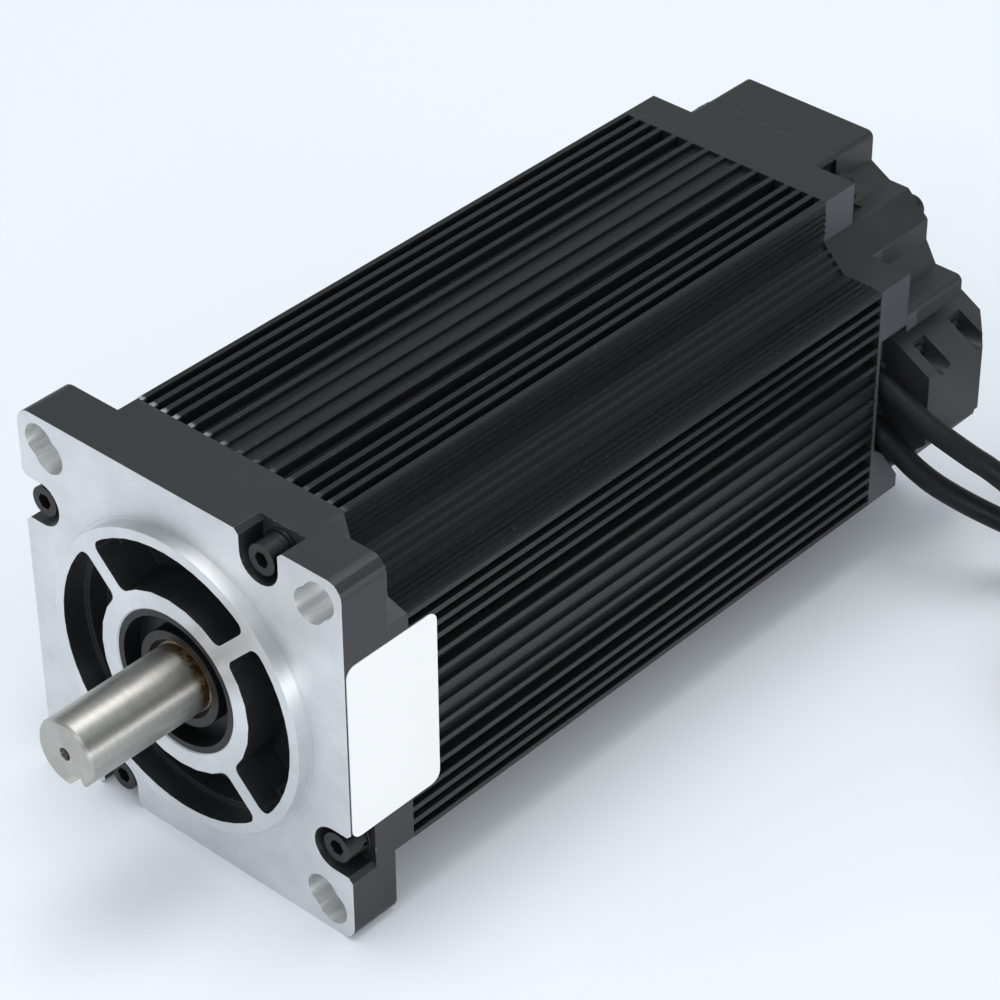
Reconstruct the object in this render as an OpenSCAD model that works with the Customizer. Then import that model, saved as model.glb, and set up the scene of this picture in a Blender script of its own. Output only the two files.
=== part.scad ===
// Closed-loop stepper motor with a finned housing, a square flange and an encoder under a rear cover.
// Millimetres. The shaft lies along Y and points to -Y, the flange's mounting face is at y = 0, +Z is up.

/* [Frame] */
// Width and height of the square frame
frame_w = 110; // [106:1:114]
// Width of the notch along each long edge of the housing
corner_notch_w = 20; // [19:0.5:21]
// Rounding of the flange's corners
frame_corner_r = 4.5; // [2:0.5:6]

/* [Flange] */
// Thickness of the flange plate
flange_t = 15; // [14:0.5:18]
// Length of the neck behind the flange plate
neck_t = 6.7; // [6:0.1:9]
// Diameter of the pilot ring
pilot_d = 85; // [82:0.5:88]
// Height of the pilot ring over the mounting face
pilot_h = 4; // [3:0.5:5]
// Outer diameter of the four pockets in the pilot
window_d = 79; // [76:0.5:80]
// Diameter of the hub inside the pockets
hub_d = 51; // [50:0.5:56]
// Width of the spokes between the pockets
spoke_w = 4.5; // [3:0.5:8]
// Square of the outer mounting holes, centre to centre
bolt_square = 95; // [92:0.5:96]
// Square of the inner mounting holes, centre to centre
inner_bolt_square = 88.9; // [86:0.1:90]
// Diameter of the mounting holes
bolt_hole_d = 10; // [8:0.5:11]

/* [Housing] */
// Length of the finned housing
housing_l = 183.3; // [178:0.1:220]
// Width of a fin's tip
fin_tip = 1.6; // [1.2:0.1:2]
// Distance between the middle fins
fin_pitch = 5.6; // [5:0.1:5.8]
// Distance between the fins near the corners
edge_fin_pitch = 4.03; // [3.8:0.01:4.2]
// Depth of the grooves between the fins near the corners
edge_groove = 2.9; // [2:0.1:3]
// Depth of the middle groove between fins
mid_groove = 1; // [0.6:0.1:1.4]
// Least wall of the housing between its bore and its grooves
housing_wall = 3; // [2.5:0.1:4]

/* [Screws] */
// Diameter of the frame screws
screw_d = 5; // [4:0.5:5]
// Diameter of the frame screws' heads
screw_head_d = 8.5; // [7:0.1:9]
// Distance of the frame screws from the frame's side
screw_inset = 6.1; // [5.8:0.1:6.4]
// Radius of the notch round a flange screw
screw_notch_r = 6.4; // [5.6:0.1:6.8]
// Diameter of the cover screws
cover_screw_d = 4; // [3:0.5:4]

/* [Shaft] */
// Diameter of the output shaft
shaft_d = 19; // [16:0.5:19]
// Length of the output shaft from the mounting face
shaft_l = 40; // [32:1:60]
// Width of the keyway
key_w = 6; // [4:0.5:7]
// Depth of the keyway
key_depth = 3.5; // [2:0.1:4]
// Length of the keyway
key_l = 25; // [15:1:28]
// Direction in which the keyway points, counted from +X towards +Z
key_angle = -69; // [-180:1:180]

/* [Bearings] */
// Bore, outer diameter and width of the front bearing
front_bearing = [20, 47, 14]; // [10:0.5:50]
// Bore, outer diameter and width of the rear bearing
rear_bearing = [17, 40, 12]; // [10:0.5:50]
// Number of balls in a bearing
ball_count = 8; // [6:1:8]

/* [Stator and rotor] */
// Number of rotor teeth
rotor_teeth = 50; // [50]
// Number of stator poles
pole_count = 8; // [8]
// Gap between rotor and stator
air_gap = 0.3; // [0.2:0.05:0.5]

/* [Rear cap and cover] */
// Thickness of the rear cap's lobes
lobe_t = 12.5; // [12:0.5:16]
// Length of the rear cap behind its lobes
cap_ring_t = 8.5; // [8:0.1:12]
// Length of the encoder cover
cover_l = 16.3; // [16:0.1:24]
// Wall behind the encoder
cover_wall = 2; // [1.5:0.1:3]
// Half the width of the arms that reach the frame's sides
arm_half = 22.4; // [21:0.1:22.8]

/* [Cables] */
// Diameter of both cables
cable_d = 6.5; // [5:0.1:6.6]

/* [Hidden] */
$fn = 72;

// Overrun of every cut
cut = 1;
// Clearance of pieces that are pressed or screwed together
seat_gap = 0.05;
// Running clearance of the rolling pieces and of the seal
running_gap = 0.1;
// Clearance of turning pieces that must not touch
free_gap = 0.4;

// Colours
bare_metal = [0.78, 0.79, 0.8];
ground_steel = [0.68, 0.67, 0.65];
dark_steel = [0.12, 0.12, 0.13];
black_cast = [0.1, 0.1, 0.11];
black_anodised = [0.06, 0.06, 0.065];
black_rubber = [0.05, 0.05, 0.05];
core_steel = [0.4, 0.41, 0.44];
magnet_grey = [0.3, 0.3, 0.33];
copper = [0.72, 0.4, 0.2];
nylon = [0.88, 0.86, 0.8];
board_green = [0.08, 0.3, 0.15];
label_white = [0.97, 0.97, 0.97];

// Frame
half = frame_w / 2;
notch_wall = half - corner_notch_w;
core_r = half - mid_groove;
bore_r = core_r - housing_wall;
arc_steps = 6;
route_half = 55;
route_back = 205;

// Stations along Y
flange_back = flange_t;
neck_back = flange_back + neck_t;
housing_back = neck_back + housing_l;
lobe_back = housing_back + lobe_t;
cap_back = lobe_back + cap_ring_t;
cover_back = cap_back + cover_l;

// Fins
edge_fins_each_side = 4;
edge_fin_z = notch_wall - fin_tip / 2;
mid_fins_each_side = floor((edge_fin_z - edge_fins_each_side * edge_fin_pitch) / fin_pitch);
fin_places = [
    for (k = [0:edge_fins_each_side - 1]) -edge_fin_z + k * edge_fin_pitch,
    for (k = [-mid_fins_each_side:mid_fins_each_side]) k * fin_pitch,
    for (k = [edge_fins_each_side - 1:-1:0]) edge_fin_z - k * edge_fin_pitch
];

// Fine ribs in the corner notches
rib_count = 4;
rib_pitch = 1.9;
rib_w = 0.9;
rib_h = 0.35;
rib_start = half - 4;
arc_rib_count = 3;
arc_rib_w = 1.2;
arc_rib_h = 0.9;
arc_rib_pitch = 2.45;

// Flange and its neck
pilot_r = pilot_d / 2;
hub_r = hub_d / 2;
window_r = window_d / 2;
window_depth = 13;
window_step_depth = 7;
window_step = 1.7;
window_fillet = 2.4;
window_steps = 12;
bell_floor = 5;
bell_front = window_depth - pilot_h + bell_floor;
spigot_l = 4;
spigot_r = bore_r - seat_gap;
spigot_wall = 4;
hub_wall = 2;
boss_rim = 1;
neck_lean = 2.2;
neck_shelf = 7.6;
neck_root = 3;
neck_facet = 1.4;
neck_bite = 0.2;
mouth_chamfer = 0.4;

// Frame screws
screw_r = screw_d / 2;
screw_hole_r = screw_r + seat_gap;
screw_pass_r = screw_r + running_gap * 2;
screw_head_r = screw_head_d / 2;
screw_head_h = screw_d;
screw_socket_w = 4;
screw_socket_depth = 2.6;
screw_grip = 15;
screw_notch_depth = 8.3;
notch_flare = 1.4;
mouth_half = screw_notch_r + notch_flare;
washer_t = 1;
washer_r = 5;
lock_washer_t = 1.3;
lock_washer_r = 4.4;
lock_washer_split = 1.2;
screw_side = edge_fin_z - (edge_fins_each_side - 1) / 2 * edge_fin_pitch;
screw_out = half - screw_inset;
screw_places = [for (k = [0:3]) turned_point([screw_side, screw_out], -90 * k)];
outlet_side_screw = screw_places[1];
flange_screw_head_front = screw_notch_depth - washer_t - lock_washer_t - screw_head_h;

// Shaft seal
seal_set = 0.4;
seal_t = 7;
seal_r = 20;
seal_front = seal_set - pilot_h;
seal_back = seal_front + seal_t;
seal_rim = 1.8;
seal_web = 1.4;
seal_lip_w = 2.9;
seal_lip_set = 1.4;
seal_lip_flare = 0.9;
seal_lip_depth = 1.8;

// Bearings
race_depth = 1.5;
ring_share = 0.27;
ball_share = 0.59;
cage_share = 1.2;
rolling_gap = 0.2;
shield_t = 0.8;
shield_set = 0.3;
cage_w = 1.3;
shoulder_t = 1.2;
front_bearing_y = seal_back + shoulder_t;
front_bearing_back = front_bearing_y + front_bearing[2];
rear_bearing_set = 1.4;
rear_bearing_y = housing_back - rear_bearing_set;
rear_bearing_back = rear_bearing_y + rear_bearing[2];

// Shaft
shaft_r = shaft_d / 2;
journal_r = front_bearing[0] / 2;
rear_journal_r = rear_bearing[0] / 2;
shaft_collar_h = 3.5;
shaft_collar_r = journal_r + shaft_collar_h;
rotor_seat_h = 2;
rotor_seat_r = journal_r + rotor_seat_h;
encoder_journal_r = 5;
encoder_journal_l = 12;
shaft_chamfer = 0.7;
journal_chamfer = 0.4;
journal_front = -1.1;
centre_hole_r = 1.8;
centre_hole_depth = 6;
retaining_ring_t = 1;
retaining_ring_w = 2.7;
retaining_groove = 0.5;

// Rotor and stator
stator_r = bore_r - seat_gap;
stator_depth = 20.65;
rotor_r = stator_r - stator_depth - air_gap;
stator_bore_r = rotor_r + air_gap;
tooth_depth = 1.4;
tooth_step = 360 / rotor_teeth;
pole_step = 360 / pole_count;
pole_teeth = 6;
core_room = 45.3;
core_l = housing_l - core_room;
core_shift = 4.35;
core_front = neck_back + (housing_l - core_l) / 2 - core_shift;
core_back = core_front + core_l;
magnet_t = 4;
spacer_t = 6;
rotor_core_t = (core_l - 2 * magnet_t - spacer_t) / 4;
magnet_r = rotor_r - 2 * tooth_depth;
spacer_wall = 5;
spacer_r = rotor_seat_r + spacer_wall;
yoke_w = 7;
slot_r = stator_r - yoke_w;
pole_half = 6;
shoe_t = 2.7;
shoe_slope = 1.2;
insulator_t = 1.5;
coil_side = 5;
coil_end = 10;
coil_play = 0.5;
coil_in_r = stator_bore_r + shoe_t + shoe_slope + coil_play;
coil_in_half = pole_half + coil_play;
coil_out_half = coil_in_half + coil_side;
coil_out_r = sqrt(pow(slot_r - coil_play, 2) - pow(coil_out_half, 2));

// Rear cap
cap_rim = 11;
cap_cavity_r = half - cap_rim;
cap_cavity_depth = 8;
cap_wall_t = 2;
bearing_stop = 1.4;
rear_seat_back = rear_bearing_back + bearing_stop;
cap_floor = rear_seat_back + cap_wall_t;
rear_boss_wall = 4;
rear_boss_rim = 1;
shaft_hole_gap = 3.5;
shaft_hole_r = rear_journal_r + shaft_hole_gap;
lobe_facet = 7.5;
scallop_r = 7.6;
arm_reach = 9;
arm_root = half - arm_reach;
side_flat_depth = 12.7;
side_flat = half - side_flat_depth;
flat_in_depth = 26.1;
flat_out_depth = 19.8;
flat_in = half - flat_in_depth;
flat_out = half - flat_out_depth;
arm_corner_r = 2;
root_fillet = 1;
wave_washer_t = 0.4;
wave_washer_rise = bearing_stop / 2 - wave_washer_t / 2;
wave_washer_w = 3.4;
wave_count = 3;
wave_steps = 36;
lead_hole_r = 3;
lead_hole_at = [34.6, 20] * half / route_half;

// Cable recess in the rear cap's right side
recess_depth = 7.5;
recess_x = half - recess_depth;
recess_web = 1.2;
recess_top_z = 9.4;
recess_curve_r = 9.4;
recess_floor = [[0, -16], [5.3, -20.2], [12.5, -31]];

// Cover and gasket
gasket_t = 1.2;
gasket_in_r = cap_cavity_r + free_gap;
gasket_w = 1.7;
gasket_squeeze = 0.1;
cover_screw_depth = 18.6;
cover_screw_at = half - cover_screw_depth;
cover_screw_r = cover_screw_d / 2;
cover_screw_head_r = 3.6;
cover_screw_head_h = 2.6;
cover_screw_bite = 6;
cross_w = 1;
cross_l = 4.4;
cross_depth = 1.3;

// Cable outlet block on the right side
outlet_x = 48;
outlet_face_x = 63.7;
outlet_top_z = 12.6;
outlet_edge_z = 4.9;
outlet_shelf_x = 50;
arm_lip_z = 16.3;
outlet_low = [[61, -19.8], [59.5, -23.7], [55.9, -28.2]];
outlet_face_low_z = -17.3;
outlet_overhang = 7.2;
outlet_back = cover_back + outlet_overhang;
outlet_cut_y = cover_back - neck_bite;
outlet_cut_x = 57;
outlet_wall = 2.6;
outlet_cavity_top = 0.4;
outlet_screw_r = 1.25;
outlet_screw_head_r = 2.6;
outlet_screw_head_h = 2;
outlet_cross_l = 3.2;
outlet_cross_depth = 0.9;
outlet_screw_z = 5.8;
outlet_screw_x = 54;
outlet_screw_bite = 1.7;
outlet_channel_r = 2.9;
outlet_front_screw = 6.9;
outlet_rear_screw = 1.5;
outlet_screw_ys = [lobe_back + outlet_front_screw, cover_back - outlet_rear_screw];

// Encoder
hub_r_small = 8;
hub_flange_r = 11;
hub_flange_t = 1.5;
hub_l = 7.2;
hub_set = 3;
hub_y = cap_floor + hub_set;
hub_back = hub_y + hub_l;
hub_screw_r = 1.5;
hub_screw_l = 2.6;
hub_screw_y = hub_y + hub_l / 3;
disc_r = 22;
disc_t = 0.8;
disc_back = hub_back + disc_t;
reader_gap = 1.2;
reader_t = 1.8;
reader_w = 10;
reader_h = 8;
reader_x = 19;
board_t = 1.6;
board_r = 36;
board_hole_r = 11;
board_y = disc_back + reader_gap + reader_t;
board_back = board_y + board_t;
standoff_r = 2.7;
standoff_at = 30;
standoff_angles = [90, 210, 330];
board_screw_r = 1.25;
board_screw_head_r = 2.4;
board_screw_head_h = 1.6;
board_screw_l = 6;
connector_size = [12, 4.6, 7];
connector_at = [22, 18] * half / route_half;
connector_wall = 0.8;

// Label
label_t = 0.15;
label_front = 0.5;
label_l = 30.8;
label_low_z = -22;
label_h = 52.5;
label_corner_r = 3;

// Cables: the routes are chosen by hand, in millimetres
cable_r = cable_d / 2;
cable_sides = 10;
function placed(points) = [
    for (p = points) [p.x * half / route_half, p.y + housing_back - route_back, p.z * half / route_half]
];
encoder_route = placed([
    [45.5, 211.4, 3.2], [49.2, 211.4, 2.6], [54, 211.3, 0.9], [60, 211.2, -1.6], [67.6, 211.7, -5.2],
    [74.8, 213.4, -8.7], [80.7, 215.8, -12.3], [86, 218.8, -16.1], [94.4, 224.2, -24.4],
    [103, 229.3, -33.4], [111.8, 234, -42.4], [120.8, 238.4, -48.75], [126.3, 240.8, -50.4],
    [131.8, 243.1, -50.75]
]);
power_route = placed([
    [45.5, 211.4, -11.2], [49.5, 211.4, -12.9], [55, 211.3, -15.6], [61, 211.2, -18.5],
    [65.2, 211.4, -20.8], [70.4, 212.5, -23.6], [75, 214.6, -26.3], [80.1, 218, -29.8],
    [84.5, 222, -33.4], [90, 226.8, -37.6], [96.5, 231.5, -43.7], [102.9, 236.2, -48.65],
    [107.8, 239.7, -50.4], [112.7, 243.3, -50.75], [117.5, 246.8, -50.75]
]);
encoder_lead_route = placed([
    [46.4, 211.4, 3.05], [43.2, 211.3, 3.9], [41.4, 211, 6], [40.4, 210.4, 9.4], [38.6, 209.9, 14],
    [36, 211, 18.6], [34.6, 214, 20], [34.6, 220, 20], [34.6, 228, 20], [34.6, 233, 20],
    [33.8, 236, 19.4], [31.5, 237, 18.4], [28, 237, 18]
]);
phase_lead_route = placed([
    [46.4, 211.4, -11.6], [43.4, 211.4, -10.4], [40.8, 209.9, -9], [39.8, 206, -7.6],
    [39.3, 200.5, -6.2], [39, 194.5, -4.8], [39, 188, -4]
]);
phase_lead_x_shares = [0, 1, 1, 1, 1, 1, 1];
phase_lead_y_shares = [1, 1, 1, 1, 1, 1, 0];
phase_lead_offsets = [[-1, -1], [1, -1], [-1, 1], [1, 1]];
phase_lead_r = 0.8;
phase_lead_spread = 1.15;
encoder_lead_r = 1.2;
lead_sides = 8;

// Heading of each cable where it reaches its coil, and the side to which the coil turns
encoder_heading = 22;
encoder_turn = -1;
power_heading = 36;
power_turn = 1;

// Coils of cable
coil_turns = 2;
coil_rings = 24;
coil_sides = 6;
coil_mid_r = 35.8;
coil_pitch = 7.6;
coil_layer = 7;
climb_turns = 0.5;
tail_rise_turns = 0.25;
tail_wait_turns = 0.1;
tail_in = 9.6;
encoder_tail_turns = 0.37;
power_tail_turns = 0.4;

// Ties round the coils
tie_turn = 0.85;
tie_t = 0.9;
tie_w = 3.6;
tie_play = 0.1;
tie_head = 5;

// Grommets
grommet_r = 4.3;
grommet_collar_r = 4.7;
grommet_collar_t = 1.5;
grommet_in_l = 2.5;
grommet_out_l = 3;
grommet_seat_l = 8;

// Plugs
plug_entry_l = 6;
plug_entry_r = 4.6;
plug_overlap = 1;
power_plug_size = [26, 20, 12];
power_pin_count = 4;
power_pin_w = 3.2;
power_pin_pitch = 4.6;
power_pin_depth = 9;
power_latch = [12, 5, 1.4];
encoder_plug_t = 14;
encoder_plug_l = 32;
encoder_plug_half = 15.5;
encoder_plug_neck = 7.5;
encoder_plug_taper = 10;
encoder_plate_t = 1;
encoder_plate_half_t = 6;
encoder_plate_half_w = 15;
encoder_shell_l = 5.6;
encoder_shell_half_w = 8.3;
encoder_shell_half_t = 4;
encoder_shell_slant = 1;
thumb_at = 12.3;
thumb_r = 2.4;
thumb_l = 8;
thumb_start = 3;
thumb_shank_r = 1.4;
plug_corner_r = 1.5;

// Points and outlines
function unit(v) = v / norm(v);
function smooth(u) = let (t = min(max(u, 0), 1)) t * t * (3 - 2 * t);
function turned_point(p, a) = [p.x * cos(a) - p.y * sin(a), p.x * sin(a) + p.y * cos(a)];
function polar(r, a) = [r * cos(a), r * sin(a)];
function four_fold(points) = [for (k = [0:3]) each [for (p = points) turned_point(p, 90 * k)]];
function corner_arc(a, b, c, r) =
    r == 0 ? [b] :
    let (
        u = unit(a - b),
        v = unit(c - b),
        half_angle = acos(u * v) / 2,
        start = b + u * r / tan(half_angle),
        centre = b + unit(u + v) * r / sin(half_angle),
        sweep = -sign(cross(u, v)) * (180 - 2 * half_angle)
    )
    [for (k = [0:arc_steps]) centre + turned_point(start - centre, sweep * k / arc_steps)];
function rounded(points, radii) =
    let (n = len(points))
    [for (k = [0:n - 1]) each corner_arc(points[(k + n - 1) % n], points[k], points[(k + 1) % n], radii[k])];
function box_points(half_x, half_y) =
    [[half_x, -half_y], [half_x, half_y], [-half_x, half_y], [-half_x, -half_y]];

// Turned, drilled and extruded shapes along Y
module along_y(front, back) {
    translate([0, back, 0]) rotate([90, 0, 0]) linear_extrude(back - front) children();
}
module round_y() {
    rotate([-90, 0, 0]) rotate_extrude() children();
}
module rod(r, front, back) {
    translate([0, front, 0]) rotate([-90, 0, 0]) cylinder(r = r, h = back - front);
}
module pipe(r, inner_r, front, back) {
    difference() {
        rod(r, front, back);
        rod(inner_r, front - cut, back + cut);
    }
}
module rod_x(r, from, to) {
    translate([from, 0, 0]) rotate([0, 90, 0]) cylinder(r = r, h = to - from);
}
module at_xz(p) {
    translate([p.x, 0, p.y]) children();
}
module box(low, high) {
    translate(low) cube(high - low);
}

// Tube swept along a path, its last ring square to the given direction
function path_tangent(path, i, last) =
    i == len(path) - 1 ? last : unit(path[i + 1] - path[max(i - 1, 0)]);
function tube_ring(at, along, r, sides) =
    let (across = unit(cross(along, [0, 0, 1])), up = cross(across, along))
    [for (k = [0:sides - 1]) at + r * (cos(360 * k / sides) * across + sin(360 * k / sides) * up)];
module swept_tube(path, r, sides, last) {
    n = len(path);
    points = [for (i = [0:n - 1]) each tube_ring(path[i], path_tangent(path, i, last), r, sides)];
    walls = [
        for (i = [0:n - 2], k = [0:sides - 1])
            let (a = i * sides + k, b = i * sides + (k + 1) % sides)
            each [[a, b, a + sides], [b, b + sides, a + sides]]
    ];
    start_cap = [for (k = [1:sides - 2]) [0, k + 1, k]];
    top = (n - 1) * sides;
    end_cap = [for (k = [1:sides - 2]) [top, top + k, top + k + 1]];
    polyhedron(points = points, faces = concat(walls, start_cap, end_cap));
}
function last_step(path) = unit(path[len(path) - 1] - path[len(path) - 2]);

// Front flange
slot_cusp = 0.25;
neck_points = four_fold([
    [half, notch_wall - neck_bite],
    [half - neck_shelf, notch_wall + neck_lean],
    [notch_wall + neck_root + neck_facet, notch_wall + neck_root],
    [notch_wall + neck_root, notch_wall + neck_root + neck_facet],
    [notch_wall + neck_lean, half - neck_shelf],
    [notch_wall - neck_bite, half]
]);
function window_points(outer_r) =
    let (
        outer_a = 45 - asin(spoke_w / 2 / outer_r),
        inner_a = 45 - asin(spoke_w / 2 / hub_r),
        outer = [for (k = [0:window_steps]) polar(outer_r, outer_a * (2 * k / window_steps - 1))],
        inner = [for (k = [window_steps / 2:-1:0]) polar(hub_r, inner_a * (4 * k / window_steps - 1))],
        ends = [window_fillet, for (k = [1:window_steps - 1]) 0, window_fillet],
        inner_ends = [window_fillet, for (k = [1:window_steps / 2 - 1]) 0, window_fillet]
    )
    rounded(concat(outer, inner), concat(ends, inner_ends));
module windows() {
    for (k = [0:3]) rotate([0, 90 * k, 0]) {
        along_y(-pilot_h - cut, window_step_depth - pilot_h) polygon(window_points(window_r));
        along_y(-pilot_h, window_depth - pilot_h) polygon(window_points(window_r - window_step));
    }
}
module screw_notch() {
    along_y(-cut, screw_notch_depth) {
        circle(r = screw_notch_r);
        translate([-screw_notch_r, 0]) square([2 * screw_notch_r, screw_inset + cut]);
        polygon([
            [-screw_notch_r, screw_inset - notch_flare], [screw_notch_r, screw_inset - notch_flare],
            [mouth_half, screw_inset], [mouth_half, screw_inset + cut],
            [-mouth_half, screw_inset + cut], [-mouth_half, screw_inset]
        ]);
    }
}
module bolt_slots() {
    for (x = [-1, 1], z = [-1, 1]) {
        for (square = [bolt_square, inner_bolt_square])
            at_xz([x * square / 2, z * square / 2]) rod(bolt_hole_d / 2, -cut, flange_back + cut);
        hull() for (square = [bolt_square, inner_bolt_square])
            at_xz([x * square / 2, z * square / 2])
                rod(bolt_hole_d / 2 - slot_cusp, -cut, flange_back + cut);
    }
}
module front_flange() {
    seat_r = front_bearing[1] / 2 + seat_gap;
    boss_r = max(hub_r, front_bearing[1] / 2) + hub_wall;
    boss_back = front_bearing_back + boss_rim;
    cavity_r = spigot_r - spigot_wall;
    rear = neck_back + spigot_l;
    color(bare_metal) difference() {
        union() {
            along_y(0, flange_back)
                polygon(rounded(box_points(half, half), [for (k = [0:3]) frame_corner_r]));
            along_y(flange_back, neck_back) polygon(neck_points);
            rod(pilot_r, -pilot_h, 0);
            rod(spigot_r, neck_back, rear);
        }
        difference() {
            rod(cavity_r, bell_front, rear + cut);
            rod(boss_r, bell_front - cut, boss_back);
        }
        rod(seal_r + seat_gap, -pilot_h - cut, front_bearing_y + cut);
        rod(seat_r, front_bearing_y, rear + cut);
        round_y() polygon([
            [seal_r - cut, -pilot_h - cut], [seal_r + seat_gap + mouth_chamfer + cut, -pilot_h - cut],
            [seal_r + seat_gap, mouth_chamfer - pilot_h], [seal_r - cut, mouth_chamfer - pilot_h]
        ]);
        windows();
        for (k = [0:3]) rotate([0, 90 * k, 0]) at_xz([screw_side, screw_out]) {
            screw_notch();
            rod(screw_pass_r, screw_notch_depth - cut, neck_back + cut);
        }
        bolt_slots();
    }
}

// Housing
function groove_floor(a, b) =
    let (mid = (a + b) / 2)
    abs(mid) > mid_fins_each_side * fin_pitch + fin_pitch / 2 + fin_tip ? half - edge_groove
        : sqrt(core_r * core_r - mid * mid);
fin_points = [
    for (i = [0:len(fin_places) - 1]) each concat(
        [[half, fin_places[i] - fin_tip / 2], [half, fin_places[i] + fin_tip / 2]],
        i == len(fin_places) - 1 ? [] :
            let (x = groove_floor(fin_places[i], fin_places[i + 1]))
            [[x, fin_places[i] + fin_tip / 2], [x, fin_places[i + 1] - fin_tip / 2]]
    )
];
wall_rib_points = [
    for (k = [0:rib_count - 1]) let (x = rib_start - k * rib_pitch) each [
        [x + rib_w / 2, notch_wall], [x + rib_w / 2, notch_wall + rib_h],
        [x - rib_w / 2, notch_wall + rib_h], [x - rib_w / 2, notch_wall]
    ]
];
arc_rib_a = arc_rib_w / 2 / core_r * 180 / PI;
arc_rib_step = arc_rib_pitch / core_r * 180 / PI;
arc_start = asin(notch_wall / core_r);
arc_points = concat(
    [polar(core_r, arc_start)],
    [for (k = [0:arc_rib_count - 1]) let (a = 45 + (k - (arc_rib_count - 1) / 2) * arc_rib_step) each [
        polar(core_r, a - arc_rib_a), polar(core_r + arc_rib_h, a - arc_rib_a),
        polar(core_r + arc_rib_h, a + arc_rib_a), polar(core_r, a + arc_rib_a)
    ]],
    [polar(core_r, 90 - arc_start)]
);
mirrored_rib_points = [
    for (k = [len(wall_rib_points) - 1:-1:0]) [wall_rib_points[k].y, wall_rib_points[k].x]
];
housing_points = four_fold(concat(fin_points, wall_rib_points, arc_points, mirrored_rib_points));
module housing() {
    color(black_anodised) difference() {
        along_y(neck_back, housing_back) polygon(housing_points);
        rod(bore_r, neck_back - cut, housing_back + cut);
        for (p = screw_places) at_xz(p) {
            rod(screw_hole_r, neck_back - cut, neck_back + screw_grip + cut);
            rod(screw_hole_r, housing_back - screw_grip - cut, housing_back + cut);
        }
    }
}
module name_label() {
    color(label_white) translate([half, label_front + label_l / 2, label_low_z + label_h / 2])
        rotate([0, 90, 0]) linear_extrude(label_t)
            polygon(rounded(box_points(label_h / 2, label_l / 2), [for (k = [0:3]) label_corner_r]));
}

// Frame screws
module socket_screw(head_front, tip, hole_side) {
    head_back = head_front + screw_head_h;
    socket_front = hole_side > 0 ? head_back - screw_socket_depth : head_front - cut;
    socket_back = hole_side > 0 ? head_back + cut : head_front + screw_socket_depth;
    difference() {
        union() {
            rod(screw_head_r, head_front, head_back);
            rod(screw_r, min(tip, head_back), max(tip, head_front));
        }
        translate([0, socket_front, 0]) rotate([-90, 0, 0])
            cylinder(r = screw_socket_w / sqrt(3), h = socket_back - socket_front, $fn = 6);
    }
}
module flange_screws() {
    color(dark_steel) for (p = screw_places) at_xz(p)
        socket_screw(flange_screw_head_front, neck_back + screw_grip, -1);
}
module flange_lock_washers() {
    front = screw_notch_depth - washer_t - lock_washer_t;
    color(dark_steel) for (p = screw_places) at_xz(p) difference() {
        pipe(lock_washer_r, screw_r + running_gap, front, front + lock_washer_t);
        box(
            [0, front - cut, -lock_washer_split / 2],
            [washer_r, front + lock_washer_t + cut, lock_washer_split / 2]
        );
    }
}
module flange_washers() {
    color(dark_steel) for (p = screw_places) at_xz(p)
        pipe(washer_r, screw_r + running_gap, screw_notch_depth - washer_t, screw_notch_depth);
}
module rear_cap_screws() {
    color(dark_steel) for (p = screw_places) at_xz(p)
        socket_screw(lobe_back, housing_back - screw_grip, 1);
}

// Shaft seal
module shaft_seal() {
    lip_in = journal_r + running_gap;
    lip_out = lip_in + seal_lip_flare + seal_lip_w - seal_lip_flare / 2;
    lip_front = seal_front + seal_lip_set;
    web_front = seal_back - seal_web;
    color(black_rubber) round_y() polygon([
        [seal_r, seal_front], [seal_r, seal_back], [lip_in, seal_back], [lip_in, lip_front + seal_lip_depth],
        [lip_in + seal_lip_flare, lip_front], [lip_out, lip_front], [lip_out, web_front],
        [seal_r - seal_rim, web_front], [seal_r - seal_rim, seal_front]
    ]);
}

// Ball bearing, from its bore, outer diameter and width
function ring_h(b) = (b[1] - b[0]) / 2 * ring_share;
function pitch_r(b) = (b[0] + b[1]) / 4;
function ball_r(b) = (b[1] - b[0]) / 4 * ball_share;
module race_groove(b, front) {
    round_y() translate([pitch_r(b), front + b[2] / 2]) circle(r = ball_r(b) + rolling_gap, $fn = 48);
}
module outer_ring(b, front) {
    color(ground_steel) difference() {
        pipe(b[1] / 2, b[1] / 2 - ring_h(b), front, front + b[2]);
        race_groove(b, front);
    }
}
module inner_ring(b, front) {
    color(ground_steel) difference() {
        pipe(b[0] / 2 + ring_h(b), b[0] / 2 + seat_gap, front, front + b[2]);
        race_groove(b, front);
    }
}
module balls(b, front) {
    color(ground_steel) for (k = [0:ball_count - 1]) rotate([0, 360 * k / ball_count, 0])
        translate([pitch_r(b), front + b[2] / 2, 0]) sphere(r = ball_r(b), $fn = 32);
}
module ball_cage(b, front) {
    mid = front + b[2] / 2;
    cage_half = ball_r(b) * cage_share;
    color(nylon) difference() {
        pipe(pitch_r(b) + cage_w, pitch_r(b) - cage_w, mid - cage_half, mid + cage_half);
        for (k = [0:ball_count - 1]) rotate([0, 360 * k / ball_count, 0])
            translate([0, mid, 0]) rod_x(ball_r(b) + running_gap, pitch_r(b) / 2, pitch_r(b) + ball_r(b));
    }
}
module shields(b, front) {
    color(black_rubber) for (y = [front + shield_set, front + b[2] - shield_set - shield_t])
        pipe(b[1] / 2 - ring_h(b) - seat_gap, b[0] / 2 + ring_h(b) + free_gap, y, y + shield_t);
}
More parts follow.
